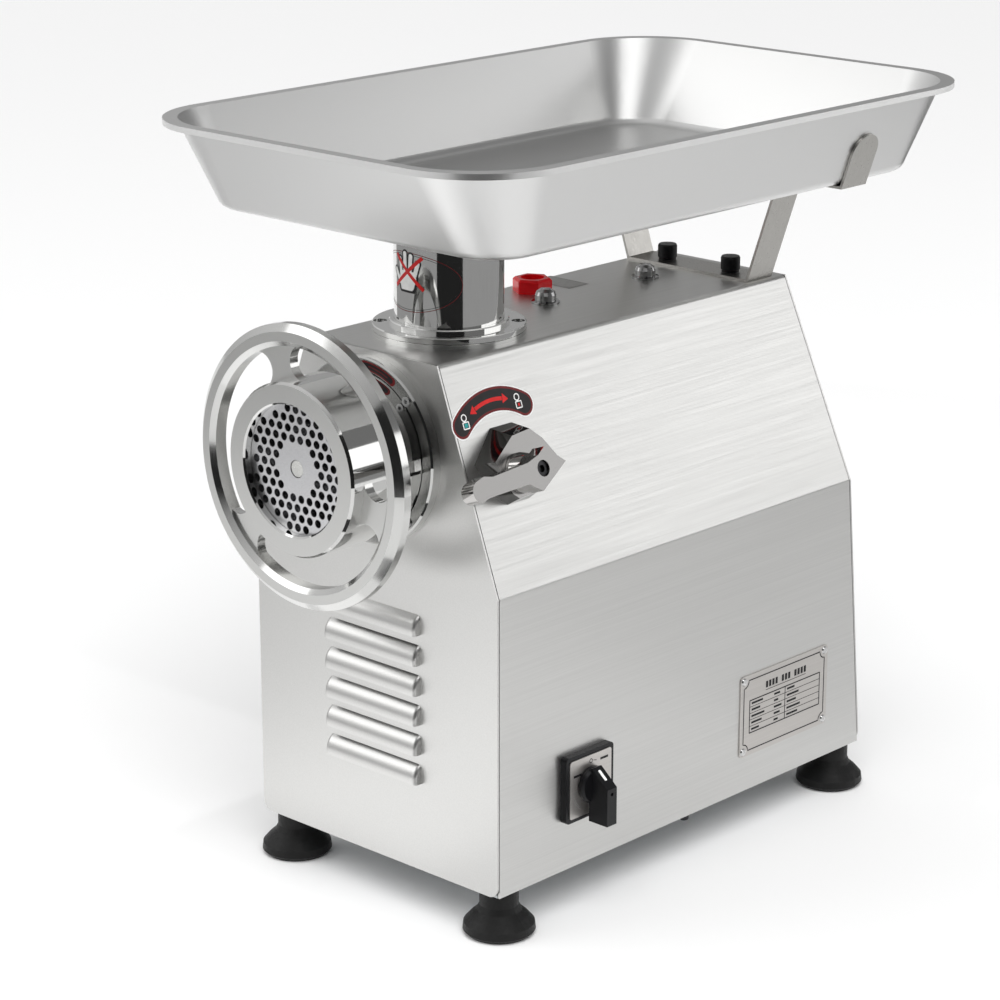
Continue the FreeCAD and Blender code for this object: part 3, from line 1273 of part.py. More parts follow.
def make_supports():
    floor = D.casing_bottom + BASE_SHEET
    cradle_back = -132
    cradle_length = 40
    cradle = new_body("motor_cradle", (0, 0, floor), FORWARD)
    outline = new_sketch(cradle, "XY", cradle_back)
    add_polygon(outline, [(-60, 0), (60, 0), (60, 4), (48, 4), (48, 112), (-48, 112),
                          (-48, 4), (-60, 4)])
    pad(cradle, outline, cradle_length)
    window = new_sketch(cradle, "XY", cradle_back)
    add_rounded_box(window, as_size(43), as_size(17), 6, 0, 23)
    pocket(cradle, window, cradle_length, back=True)
    drill(cradle, D.motor_radius + 0.2, [(0, D.motor_axis - floor)], offset=cradle_back,
          length=cradle_length, back=True)
    turned("capacitor", [(0, 70), (19, 70), (20, 71), (20, 149), (19, 150), (0, 150)],
           (-72, 0, floor + 20.2), FORWARD)
    plate("terminal_block", as_size(32), as_size(11), 18, as_size(2),
          (20, -140, floor), UPRIGHT)


# ---------------------------------------------------------------- build and export

def build():
    cover = make_casing_cover()
    cut_for_lock(cover, LOCK_SHAFT + 0.3, 10)
    make_front_panel()
    make_rear_panel()
    make_base_plate()
    make_feet()
    make_top_fittings()
    make_tray_bracket()
    make_bracket_bolts()
    make_neck()
    make_feed_tray()
    seat = make_head_seat()
    cut_for_lock(seat, 6.4, LOCK_REACH + 6)
    make_front_flange()
    make_head_barrel()
    make_barrel_bush()
    make_plate_key()
    make_grinding_plate()
    make_cutting_knife()
    make_auger()
    make_ring_nut()
    make_hand_wheel()
    make_lock()
    make_switch()
    make_rating_plate()
    make_gearbox_housing()
    make_gearbox_cover()
    make_output_shaft()
    make_idler_shaft()
    make_bearings()
    make_motor()
    make_supports()


def check_and_export():
    doc.recompute()
    faults = [f"{o.Name}: {o.State}" for o in doc.Objects
              if "Invalid" in o.State or "Error" in o.State]
    for piece in PIECES:
        shape = piece.Shape
        if shape.isNull() or not shape.isValid() or not shape.Solids:
            faults.append(f"{piece.Label}: no valid solid")
    if faults:
        raise RuntimeError("; ".join(faults))
    os.makedirs("parts", exist_ok=True)
    for piece in PIECES:
        piece.Shape.exportStep(f"parts/{piece.Label}.step")
        box = piece.Shape.BoundBox
        print(f"{piece.Label}: {len(piece.Shape.Solids)} solid(s), {piece.Shape.Volume / 1000:.2f}"
              f" cm3, x {box.XMin:.1f} {box.XMax:.1f}, y {box.YMin:.1f} {box.YMax:.1f},"
              f" z {box.ZMin:.1f} {box.ZMax:.1f}")


build()
check_and_export()
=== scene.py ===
"""Electric meat grinder: the looks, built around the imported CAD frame.

Metres, in the frame's own axes: +Z up, the outlet faces -Y, the switch side faces +X.
"""
import json
import math

import bpy
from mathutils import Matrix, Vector
from mathutils.geometry import tessellate_polygon


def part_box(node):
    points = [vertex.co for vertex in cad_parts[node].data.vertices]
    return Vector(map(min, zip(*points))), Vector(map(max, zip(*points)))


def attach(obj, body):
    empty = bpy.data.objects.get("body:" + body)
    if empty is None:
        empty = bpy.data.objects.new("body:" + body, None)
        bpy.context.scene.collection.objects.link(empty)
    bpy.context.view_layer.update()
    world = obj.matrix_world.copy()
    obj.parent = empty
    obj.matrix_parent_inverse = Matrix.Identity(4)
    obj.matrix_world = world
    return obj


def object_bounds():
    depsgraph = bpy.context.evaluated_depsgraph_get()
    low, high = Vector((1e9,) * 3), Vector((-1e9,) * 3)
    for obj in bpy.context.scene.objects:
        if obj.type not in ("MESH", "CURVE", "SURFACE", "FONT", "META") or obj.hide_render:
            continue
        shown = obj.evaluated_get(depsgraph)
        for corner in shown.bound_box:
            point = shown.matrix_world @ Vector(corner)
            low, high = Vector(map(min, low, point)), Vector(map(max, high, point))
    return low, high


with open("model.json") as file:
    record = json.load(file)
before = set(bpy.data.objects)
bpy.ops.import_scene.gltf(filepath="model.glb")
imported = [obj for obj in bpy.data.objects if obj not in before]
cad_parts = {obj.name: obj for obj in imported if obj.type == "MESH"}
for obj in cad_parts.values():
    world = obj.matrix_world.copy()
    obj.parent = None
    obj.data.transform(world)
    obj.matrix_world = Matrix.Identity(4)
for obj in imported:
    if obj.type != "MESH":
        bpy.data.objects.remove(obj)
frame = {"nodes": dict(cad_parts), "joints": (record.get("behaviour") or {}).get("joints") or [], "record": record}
CAD_LOW, CAD_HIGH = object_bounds()
NODES = frame["nodes"]
JOINTS = {joint["name"]: joint for joint in frame["joints"]}

# ---------------------------------------------------------------- studio

VIEW_AZIMUTH = math.radians(43.28)
VIEW_ELEVATION = math.radians(17.11)
CAMERA_AT = (1.4075, -1.5626, 0.8928)
CAMERA_LENS = 110.5
SENSOR = 36.0
BRIGHT_AZIMUTH = -60
BRIGHT_ELEVATION = 40
WORLD_BRIGHT = 1.1
WORLD_DIM = 0.30
FLOOR_HALF = 14.0
FLOOR_GAP = 0.0002
CARD_PIECES = 12
LIGHT_AIM = (0, 0, 0.3)


def look_back(azimuth, elevation):
    """Unit vector from the object towards a viewer; azimuth 0 stands in front of the outlet."""
    level = math.cos(elevation)
    return Vector((math.sin(azimuth) * level, -math.cos(azimuth) * level, math.sin(elevation)))


def add_object(name, data):
    made = bpy.data.objects.new(name, data)
    bpy.context.scene.collection.objects.link(made)
    return made


def stand_off(thing, azimuth, elevation, distance, aim=(0, 0, 0)):
    """Turns a lamp to the machine from an azimuth and an elevation in degrees."""
    back = look_back(math.radians(azimuth), math.radians(elevation))
    thing.matrix_world = back.to_track_quat("Z", "Y").to_matrix().to_4x4()
    thing.location = Vector(aim) + back * distance


def make_camera():
    data = bpy.data.cameras.new("camera")
    data.lens = CAMERA_LENS
    data.sensor_width = SENSOR
    data.clip_end = 60
    camera = add_object("camera", data)
    back = look_back(VIEW_AZIMUTH, VIEW_ELEVATION)
    camera.matrix_world = back.to_track_quat("Z", "Y").to_matrix().to_4x4()
    camera.location = Vector(CAMERA_AT)
    bpy.context.scene.camera = camera


def make_floor():
    mesh = bpy.data.meshes.new("floor")
    half = FLOOR_HALF
    mesh.from_pydata([(-half, -half, 0), (half, -half, 0), (half, half, 0), (-half, half, 0)],
                     [], [(0, 1, 2, 3)])
    floor = add_object("floor", mesh)
    floor.location.z = CAD_LOW.z - FLOOR_GAP
    mesh.materials.append(Look("floor_white", (0.93, 0.93, 0.93), 0.6).material)


def make_light(name, azimuth, elevation, distance, width, height, power):
    """Rectangular softbox turned to the middle of the machine."""
    data = bpy.data.lights.new(name, "AREA")
    data.shape = "RECTANGLE"
    data.size = width
    data.size_y = height
    data.energy = power
    stand_off(add_object(name, data), azimuth, elevation, distance, LIGHT_AIM)


def make_overhead(azimuth, elevation, strength, spread):
    """Wide even daylight that leaves no highlight of its own in polished metal."""
    data = bpy.data.lights.new("overhead", "SUN")
    data.energy = strength
    data.angle = math.radians(spread)
    lamp = add_object("overhead", data)
    stand_off(lamp, azimuth, elevation, 0)
    lamp.visible_glossy = False


def make_world():
    """Dim studio surround with one broad bright side."""
    world = bpy.data.worlds.new("studio")
    bpy.context.scene.world = world
    world.use_nodes = True
    tree = world.node_tree
    tree.nodes.clear()
    where = tree.nodes.new("ShaderNodeTexCoord")
    toward = tree.nodes.new("ShaderNodeVectorMath")
    toward.operation = "DOT_PRODUCT"
    toward.inputs[1].default_value = look_back(math.radians(BRIGHT_AZIMUTH),
                                               math.radians(BRIGHT_ELEVATION))
    tree.links.new(where.outputs["Generated"], toward.inputs[0])
    level = tree.nodes.new("ShaderNodeMapRange")
    level.inputs["From Min"].default_value = 0.1
    level.inputs["From Max"].default_value = 1.0
    level.inputs["To Min"].default_value = WORLD_DIM
    level.inputs["To Max"].default_value = WORLD_BRIGHT
    tree.links.new(toward.outputs["Value"], level.inputs["Value"])
    shade = tree.nodes.new("ShaderNodeBackground")
    tree.links.new(level.outputs[0], shade.inputs["Strength"])
    out = tree.nodes.new("ShaderNodeOutputWorld")
    tree.links.new(shade.outputs[0], out.inputs["Surface"])


def make_card(name, points, faces, level, fade=None):
    """Studio card that only polished surfaces see; it may fade along x to another level."""
    material = bpy.data.materials.new(name)
    material.use_nodes = True
    tree = material.node_tree
    tree.nodes.clear()
    glow = tree.nodes.new("ShaderNodeEmission")
    glow.inputs["Strength"].default_value = level
    out = tree.nodes.new("ShaderNodeOutputMaterial")
    tree.links.new(glow.outputs[0], out.inputs["Surface"])
    if fade:
        where = tree.nodes.new("ShaderNodeTexCoord")
        split = tree.nodes.new("ShaderNodeSeparateXYZ")
        ramp = tree.nodes.new("ShaderNodeMapRange")
        ramp.inputs["From Min"].default_value = fade[0]
        ramp.inputs["From Max"].default_value = fade[1]
        ramp.inputs["To Min"].default_value = level
        ramp.inputs["To Max"].default_value = fade[2]
        tree.links.new(where.outputs["Object"], split.inputs[0])
        tree.links.new(split.outputs["X"], ramp.inputs["Value"])
        tree.links.new(ramp.outputs[0], glow.inputs["Strength"])
    mesh = bpy.data.meshes.new(name)
    mesh.from_pydata(points, [], faces)
    mesh.materials.append(material)
    card = add_object(name, mesh)
    for ray in ("camera", "diffuse", "shadow", "transmission", "volume_scatter"):
        setattr(card, f"visible_{ray}", False)


def make_ring_card(name, start, end, distance, high, level):
    """Upright card bent round the machine from one azimuth to another, up from the floor."""
    count = CARD_PIECES
    points = []
    for i in range(count + 1):
        foot = look_back(math.radians(start + (end - start) * i / count), 0) * distance
        points += [(foot.x, foot.y, 0), (foot.x, foot.y, high)]
    faces = [(2 * i, 2 * i + 1, 2 * i + 3, 2 * i + 2) for i in range(count)]
    make_card(name, points, faces, level)


def make_floor_card(name, centre, half_x, half_y, level, turn=0, lift=0.002, fade=None):
    """Card lying just over the floor."""
    along = Vector((math.cos(math.radians(turn)), math.sin(math.radians(turn)), 0))
    across = Vector((-along.y, along.x, 0))
    middle = Vector((*centre, lift))
    points = [middle + along * half_x * sx + across * half_y * sy
              for sx, sy in ((-1, -1), (1, -1), (1, 1), (-1, 1))]
    make_card(name, points, [(0, 1, 2, 3)], level, fade)


# ---------------------------------------------------------------- materials

class Look:
    """One procedural material around a Principled shader."""

    def __init__(self, name, colour, roughness, metallic=0.0, **sockets):
        self.material = bpy.data.materials.new(name)
        self.material.use_nodes = True
        self.tree = self.material.node_tree
        self.shader = self.tree.nodes["Principled BSDF"]
        self.colour = colour
        self.shader.inputs["Base Color"].default_value = (*colour, 1)
        self.shader.inputs["Roughness"].default_value = roughness
        self.shader.inputs["Metallic"].default_value = metallic
        for socket, value in sockets.items():
            self.shader.inputs[socket.replace("_", " ")].default_value = value

    def add(self, kind, **inputs):
        node = self.tree.nodes.new(kind)
        for socket, value in inputs.items():
            node.inputs[socket.replace("_", " ")].default_value = value
        return node

    def link(self, source, target):
        self.tree.links.new(source, target)

    def noise(self, scale, stretch=(1, 1, 1), detail=4.0, roughness=0.5):
        """Noise in the frame's metres, scaled by scale and stretched along each axis."""
        place = self.add("ShaderNodeTexCoord")
        mapping = self.add("ShaderNodeMapping", Scale=stretch)
        self.link(place.outputs["Object"], mapping.inputs["Vector"])
        field = self.add("ShaderNodeTexNoise", Scale=scale, Detail=detail, Roughness=roughness)
        self.link(mapping.outputs[0], field.inputs["Vector"])
        return field.outputs["Fac"]

    def spread(self, source, low, high, start=0.3, end=0.7):
        node = self.add("ShaderNodeMapRange", From_Min=start, From_Max=end, To_Min=low, To_Max=high)
        self.link(source, node.inputs["Value"])
        return node.outputs[0]

    def vary_roughness(self, source, low, high):
        self.link(self.spread(source, low, high), self.shader.inputs["Roughness"])

    def vary_colour(self, source, dark, light):
        mix = self.add("ShaderNodeMix")
        mix.data_type = "RGBA"
        self.link(self.spread(source, 0, 1), mix.inputs["Factor"])
        mix.inputs["A"].default_value = (*[c * dark for c in self.colour], 1)
        mix.inputs["B"].default_value = (*[min(1, c * light) for c in self.colour], 1)
        self.link(mix.outputs["Result"], self.shader.inputs["Base Color"])

    def bump(self, source, depth):
        node = self.add("ShaderNodeBump", Strength=1.0, Distance=depth)
        self.link(source, node.inputs["Height"])
        self.link(node.outputs[0], self.shader.inputs["Normal"])


def brushed(name, colour, grain, low, high, depth=0.000012):
    """Sheet with a fine grain; grain holds the noise's stretch along x, y and z."""
    look = Look(name, colour, (low + high) / 2, 1.0)
    lines = look.noise(1.0, grain, 3.0, 0.6)
    look.vary_roughness(lines, low, high)
    look.vary_colour(look.noise(0.6, grain, 4.0, 0.6), 0.955, 1.03)
    look.bump(lines, depth)
    return look.material


def satin(name, colour, low, high):
    """Even bead-blasted sheen without a direction."""
    look = Look(name, colour, (low + high) / 2, 1.0)
    look.vary_roughness(look.noise(5200, detail=1), low, high)
    look.vary_colour(look.noise(6400, detail=1), 0.985, 1.01)
    return look.material


def polished(name, colour, low, high):
    """Bright metal with faint wipe marks."""
    look = Look(name, colour, low, 1.0)
    wipe = look.noise(60.0, (1, 1, 1), 5.0)
    scratch = look.noise(1.0, (900, 900, 60), 2.0)
    look.vary_roughness(wipe, low, high)
    look.vary_colour(scratch, 0.97, 1.0)
    look.bump(look.noise(18.0, (1, 1, 1), 1.0), 0.00006)
    return look.material


def cast(name, colour, roughness, metallic, depth=0.00008):
    """Uneven skin of a casting, a zinc coat or a machined part."""
    look = Look(name, colour, roughness, metallic)
    look.vary_colour(look.noise(40, detail=6), 0.85, 1.1)
    look.vary_roughness(look.noise(300, detail=3), roughness - 0.08, roughness + 0.08)
    look.bump(look.noise(700, detail=4), depth)
    return look.material


def moulded(name, colour, low, high):
    """Plastic or rubber with a fine moulded grain."""
    look = Look(name, colour, (low + high) / 2, 0.0, Specular_IOR_Level=0.25)
    look.vary_roughness(look.noise(550, detail=3), low, high)
    look.vary_colour(look.noise(30, detail=4), 0.8, 1.2)
    look.bump(look.noise(2200, detail=3), 0.00001)
    return look.material


def faced(name, colour, face_colour, facing, polish, satin):
    """Polished all over except the faces that look along facing, which are satin; each side takes its own colour,
    and on the flange and the lock block one of them is painted shade.
    """
    look = Look(name, colour, polish, 1.0)
    place = look.add("ShaderNodeTexCoord")
    toward = look.add("ShaderNodeVectorMath")
    toward.operation = "DOT_PRODUCT"
    toward.inputs[1].default_value = facing
    look.link(place.outputs["Normal"], toward.inputs[0])
    mask = look.spread(toward.outputs["Value"], 0, 1, 0.975, 0.99)
    grain = look.noise(5200, detail=1)
    rough = look.add("ShaderNodeMix")
    look.link(mask, rough.inputs["Factor"])
    look.link(look.spread(look.noise(60.0, detail=5), polish * 0.7, polish * 1.3),
              rough.inputs["A"])
    look.link(look.spread(grain, satin * 0.94, satin * 1.06), rough.inputs["B"])
    look.link(rough.outputs["Result"], look.shader.inputs["Roughness"])
    tint = look.add("ShaderNodeMix")
    tint.data_type = "RGBA"
    look.link(mask, tint.inputs["Factor"])
    tint.inputs["A"].default_value = (*colour, 1)
    tint.inputs["B"].default_value = (*face_colour, 1)
    look.link(tint.outputs["Result"], look.shader.inputs["Base Color"])
    look.bump(look.noise(14.0, detail=1), 0.00003)
    return look.material


def printed(name, colour, roughness=0.35):
    """Screen-printed or film colour with a slightly uneven gloss."""
    look = Look(name, colour, roughness, 0.0, Specular_IOR_Level=0.2)
    look.vary_colour(look.noise(220, detail=3), 0.92, 1.06)
    look.vary_roughness(look.noise(500, detail=3), roughness - 0.07, roughness + 0.07)
    return look.material


STEEL = (0.585, 0.583, 0.572)
CHROME = (0.70, 0.70, 0.69)
GRAIN_ALONG_Y = (1500, 10, 1500)
SLOPE = Vector(JOINTS["lock_lever_turn"]["axis"]).normalized()

MATERIALS = {
    "brushed_steel_sheet": brushed("casing_steel", STEEL, GRAIN_ALONG_Y, 0.30, 0.40, 0.000006),
    "galvanised_sheet": cast("galvanised", (0.50, 0.52, 0.53), 0.42, 1.0),
    "black_rubber": moulded("rubber_black", (0.007, 0.007, 0.007), 0.40, 0.60),
    "polished_steel": polished("polished_steel", CHROME, 0.03, 0.08),
    "satin_steel_strap": brushed("strap_steel", (0.42, 0.41, 0.39), (900, 900, 14), 0.26, 0.40),
    "tray_steel": satin("tray_steel", (0.66, 0.66, 0.655), 0.33, 0.37),
    "red_plastic": moulded("plug_red", (0.84, 0.008, 0.014), 0.16, 0.26),
    "black_plastic": moulded("plastic_black", (0.006, 0.006, 0.007), 0.28, 0.40),
    "label_metal": brushed("label_metal", (0.55, 0.53, 0.51), (1500, 10, 1500), 0.34, 0.44),
    "zinc_screws": polished("screw_steel", (0.60, 0.60, 0.60), 0.10, 0.20),
    "cast_aluminium": cast("cast_aluminium", (0.55, 0.55, 0.55), 0.45, 1.0),
    "cast_iron_grey": cast("casting_grey", (0.20, 0.20, 0.21), 0.5, 0.0),
    "tool_steel": satin("tool_steel", (0.52, 0.52, 0.53), 0.24, 0.34),
    "tinned_screw": cast("tinned", (0.62, 0.62, 0.60), 0.3, 1.0, 0.00003),
    "gear_steel": cast("gear_steel", (0.42, 0.42, 0.42), 0.3, 1.0, 0.00002),
    "shaft_steel": brushed("shaft_steel", (0.58, 0.58, 0.58), (14, 900, 14), 0.15, 0.25),
    "bronze_bush": cast("bronze", (0.62, 0.40, 0.16), 0.32, 1.0, 0.00003),
    "seal_rubber": moulded("rubber_seal", (0.02, 0.02, 0.02), 0.4, 0.6),
    "stator_steel": brushed("laminations", (0.22, 0.22, 0.24), (4, 2400, 4), 0.4, 0.55),
    "copper_winding": brushed("windings", (0.60, 0.26, 0.10), (700, 14, 700), 0.3, 0.4, 0.0001),
    "white_plastic": moulded("plastic_white", (0.78, 0.77, 0.73), 0.3, 0.45),
}
FORWARD = (0, -1, 0)
WHEEL = faced("wheel_steel", (0.56, 0.56, 0.55), (0.50, 0.50, 0.49), FORWARD, 0.13, 0.30)
RING = faced("ring_steel", (0.58, 0.58, 0.57), (0.50, 0.50, 0.49), FORWARD, 0.06, 0.30)
# Front flange: its forward face is painted darker (0.36 against 0.50 elsewhere), a painted shadow of the hand
# wheel.
FLANGE_PAINTED_SHADOW = faced("flange_steel_painted_shadow", (0.50, 0.50, 0.49), (0.36, 0.36, 0.35), FORWARD, 0.06, 0.22)
LEVER = faced("lever_steel", (0.42, 0.41, 0.40), (0.26, 0.255, 0.25), SLOPE, 0.06, 0.26)
# Lock block: its polished sides are painted near black (0.10), painted shade standing in for dark reflections; the
# sloping face is satin steel.
BLOCK_PAINTED_SHADE = faced("lock_block_steel_painted_shade", (0.10, 0.098, 0.095), (0.26, 0.255, 0.25), SLOPE, 0.08, 0.26)
NUT = polished("dome_nut_steel", (0.30, 0.30, 0.30), 0.05, 0.10)
DARK_STEEL = cast("blackened_steel", (0.035, 0.035, 0.037), 0.35, 1.0, 0.00001)
# Own materials for some nodes; those of the front flange and the lock block carry painted shade.
OWN_FINISH_AND_PAINTED_SHADE = {"ring_nut": RING, "hand_wheel": WHEEL, "front_flange": FLANGE_PAINTED_SHADOW,
              "lock_lever": LEVER, "lock_block": BLOCK_PAINTED_SHADE, "dome_nuts": NUT,
              "lever_screw": DARK_STEEL}
INK_BLACK = printed("ink_black", (0.012, 0.011, 0.012))
INK_RED = printed("ink_red", (0.62, 0.012, 0.012))
INK_DARK_RED = printed("ink_dark_red", (0.14, 0.010, 0.012))
INK_WHITE = printed("ink_white", (0.86, 0.86, 0.85))
INK_GREY = printed("ink_grey", (0.36, 0.36, 0.35), 0.4)
INK_TEAL = printed("ink_teal", (0.02, 0.30, 0.30))


def dress_nodes():
    """Gives every CAD node its slot's material."""
    for part in frame["record"]["subparts"]:
        node = NODES[part["node"]]
        node.data.materials.clear()
        own = OWN_FINISH_AND_PAINTED_SHADE.get(part["node"])
        node.data.materials.append(own or MATERIALS[part["material_slot"]])


def soften(node_name, width):
    """Small rounded edge on a CAD node, which keeps its own mesh."""
    bevel = NODES[node_name].modifiers.new("edge", "BEVEL")
    bevel.width = width
    bevel.segments = 2
    bevel.limit_method = "ANGLE"
    bevel.angle_limit = math.radians(30)


# ---------------------------------------------------------------- labels and prints

class Label:
    """Flat shapes in millimetres laid on a surface, each layer a little over the last."""

    def __init__(self, name, surface, body, slot, base=0.08, step=0.05):
        self.name = name
        self.surface = surface
        self.body = body
        self.slot = slot
        self.base = base
        self.step = step
        self.points = []
        self.faces = []
        self.indices = []
        self.materials = []

    def add(self, points, faces, ink, layer):
        if ink not in self.materials:
            self.materials.append(ink)
        start = len(self.points)
        height = self.base + layer * self.step
        self.points += [self.surface(u, v, height) for u, v in points]
        self.faces += [[start + i for i in face] for face in faces]
        self.indices += [self.materials.index(ink)] * len(faces)

    def fill(self, outline, ink, layer):
        """Filled outline, cut into triangles."""
        flat = [Vector((u, v, 0)) for u, v in outline]
        self.add(outline, tessellate_polygon([flat]), ink, layer)

    def fill_round(self, outline, ink, layer, width=1.2):
        """Convex outline cut into narrow upright strips that follow a curved surface."""
        low = min(u for u, v in outline)
        high = max(u for u, v in outline)
        count = math.ceil((high - low) / width)
        points = []
        for i in range(count + 1):
            u = min(max(low + (high - low) * i / count, low + 1e-4), high - 1e-4)
            heights = []
            for (u0, v0), (u1, v1) in zip(outline, outline[1:] + outline[:1]):
                if (u0 - u) * (u1 - u) < 0:
                    heights.append(v0 + (v1 - v0) * (u - u0) / (u1 - u0))
            points += [(u, min(heights)), (u, max(heights))]
        faces = [(2 * i, 2 * i + 2, 2 * i + 3, 2 * i + 1) for i in range(count)]
        self.add(points, faces, ink, layer)

    def disc(self, u, v, radius, ink, layer):
        self.fill(ring(u, v, radius), ink, layer)

    def stroke(self, path, width, ink, layer, closed=False):
        """Ribbon of even width along a path of points."""
        count = len(path)
        left = []
        right = []
        for i, (u, v) in enumerate(path):
            before = path[i - 1] if i or closed else path[i]
            after = path[(i + 1) % count] if i < count - 1 or closed else path[i]
            run = math.hypot(after[0] - before[0], after[1] - before[1]) or 1
            du = -(after[1] - before[1]) / run * width / 2
            dv = (after[0] - before[0]) / run * width / 2
            left.append((u + du, v + dv))
            right.append((u - du, v - dv))
        last = count if closed else count - 1
        faces = [(i, i + count, (i + 1) % count + count, (i + 1) % count) for i in range(last)]
        self.add(left + right, faces, ink, layer)

    def line(self, start, end, width, ink, layer, pieces=12):
        """Straight ribbon, cut so that it can follow a curved surface."""
        path = [(start[0] + (end[0] - start[0]) * i / pieces,
                 start[1] + (end[1] - start[1]) * i / pieces) for i in range(pieces + 1)]
        self.stroke(path, width, ink, layer)

    def bar(self, u, v, width, height, ink, layer):
        self.fill([(u, v), (u + width, v), (u + width, v + height), (u, v + height)], ink, layer)

    def finish(self):
        mesh = bpy.data.meshes.new(self.name)
        mesh.from_pydata(self.points, [], self.faces)
        for ink in self.materials:
            mesh.materials.append(ink)
        mesh.polygons.foreach_set("material_index", self.indices)
        piece = add_object(self.name, mesh)
        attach(piece, self.body)


def flat_surface(origin, along, up):
    """Millimetre coordinates on a plane; origin in metres."""
    out = Vector(along).cross(Vector(up))
    return lambda u, v, h: Vector(origin) + (Vector(along) * u + Vector(up) * v + out * h) / 1000


def round_surface(centre, radius, azimuth, height):
    """Millimetre coordinates wrapped round an upright cylinder, from an azimuth and a height."""
    def place(u, v, h):
        turn = math.radians(azimuth) + u / (radius * 1000)
        reach = radius + h / 1000
        return Vector((centre[0] + reach * math.sin(turn), centre[1] - reach * math.cos(turn),
                       height + v / 1000))
    return place


def ring(u, v, radius, count=40, rise=None):
    """Circle, or an ellipse where rise gives its half height."""
    rise = radius if rise is None else rise
    return [(u + radius * math.cos(2 * math.pi * i / count),
             v + rise * math.sin(2 * math.pi * i / count)) for i in range(count)]


def point_at(radius, turn, centre=(0, 0)):
    """Point at a radius and a turn in degrees from a centre."""
    turn = math.radians(turn)
    return centre[0] + radius * math.cos(turn), centre[1] + radius * math.sin(turn)


def arc(radius, start, end, count=24, centre=(0, 0)):
    """Points from start to end in degrees."""
    return [point_at(radius, start + (end - start) * i / count, centre)
            for i in range(count + 1)]


def banana(low, high, start, end, centre=(0, 0)):
    """Bent bar between two radii with rounded ends."""
    mid = (low + high) / 2
    half = (high - low) / 2
    tail = point_at(mid, end, centre)
    head = point_at(mid, start, centre)
    return (arc(high, start, end, 30, centre) + arc(half, end, end + 180, 14, tail)[1:-1]
            + arc(low, end, start, 30, centre) + arc(half, start + 180, start + 360, 14, head)[1:-1])


def rounded_box(half_u, half_v, radius, u=0, v=0):
    """Rounded rectangle round the point u, v."""
    points = []
    for su, sv, start in ((1, 1, 0), (-1, 1, 90), (-1, -1, 180), (1, -1, 270)):
        centre = (u + su * (half_u - radius), v + sv * (half_v - radius))
        points += arc(radius, start, start + 90, 6, centre)
    return points


def make_lock_label():
    """Bent black label over the lever: a double arrow between two plain symbols."""
    along = Vector((0, 1, 0))
    label = Label("lock_label", flat_surface(JOINTS["lock_lever_turn"]["pos_m"], along,
                                             SLOPE.cross(along)), "casing", "black_plastic")
    centre = (8.5, -0.5)
    middle = 51
    for low, high, ink, layer in ((42.0, 60.2, INK_WHITE, 0), (43.0, 59.2, INK_DARK_RED, 1),
                                  (44.6, 57.6, INK_BLACK, 2)):
        label.fill(banana(low, high, 57, 130, centre), ink, layer)
    label.stroke(arc(middle, 80, 110, 20, centre), 2.6, INK_RED, 3)
    for turn, way in ((79.5, -1), (110.5, 1)):
        tip = point_at(middle, turn + way * 6, centre)
        wide = [point_at(middle + side, turn, centre) for side in (-3.3, 3.3)]
        label.fill([tip, *wide], INK_RED, 3)
    for turn in (125, 64):
        u, v = point_at(middle, turn, centre)
        label.stroke(ring(u, v + 2.6, 2.2, 20), 0.8, INK_WHITE, 3, closed=True)
        label.stroke(rounded_box(2.6, 2.2, 0.5, u + 0.6, v - 2.6), 0.8, INK_WHITE, 3, closed=True)
    u, v = point_at(middle, 125, centre)
    label.bar(u - 0.9, v - 4.0, 3.0, 2.8, INK_TEAL, 4)
    u, v = point_at(middle, 64, centre)
    label.bar(u - 0.2, v - 3.6, 1.6, 2.0, INK_RED, 4)
    label.finish()


NECK_X, NECK_Y = 0, -0.118
NECK_RADIUS = 0.0372
HAND_LIFT = 2.6
PALM = [(-6.5, -9), (6, -9), (9, 0), (8, 5), (-8, 5), (-9, -2)]
FINGERS = [((-6.3, 2), (-7.6, 12.0), 3.6), ((-2.0, 4), (-2.2, 16.2), 3.8),
           ((2.6, 4), (3.4, 15.0), 3.8), ((6.8, 2), (9.4, 10.5), 3.6),
           ((-7.0, -4), (-13.0, 4.0), 3.6)]


def draw_hand(label, wider, palm_u, palm_v, ink, layer):
    """Open hand; wider is added to each finger and the palm is stretched both ways."""
    for start, end, width in FINGERS:
        knuckle = (start[0], start[1] + HAND_LIFT)
        tip = (end[0], end[1] + HAND_LIFT)
        label.line(knuckle, tip, width + wider, ink, layer)
        label.disc(*tip, (width + wider) / 2, ink, layer)
    label.fill_round([(u * palm_u, v * palm_v + HAND_LIFT) for u, v in PALM], ink, layer)


def make_neck_label():
    """Clear oval film on the neck: a hand outline struck through, without words."""
    label = Label("neck_label", round_surface((NECK_X, NECK_Y), NECK_RADIUS, -4, 0.4315),
                  "casing", "black_plastic", 0.06, 0.04)
    label.stroke(ring(0, 0, 40.5, 90, 20), 0.45, INK_DARK_RED, 0, closed=True)
    label.stroke(ring(0, 0, 38.8, 90, 18.6), 0.3, INK_BLACK, 0, closed=True)
    draw_hand(label, 1.9, 1.12, 1.1, INK_BLACK, 1)
    draw_hand(label, -0.4, 0.92, 0.92, INK_WHITE, 2)
    low, high = -4.4, 17.6
    label.line((-13, low), (13, high), 2.5, INK_RED, 3, 20)
    label.line((-12, high), (14, low), 2.5, INK_RED, 3, 20)
    label.finish()


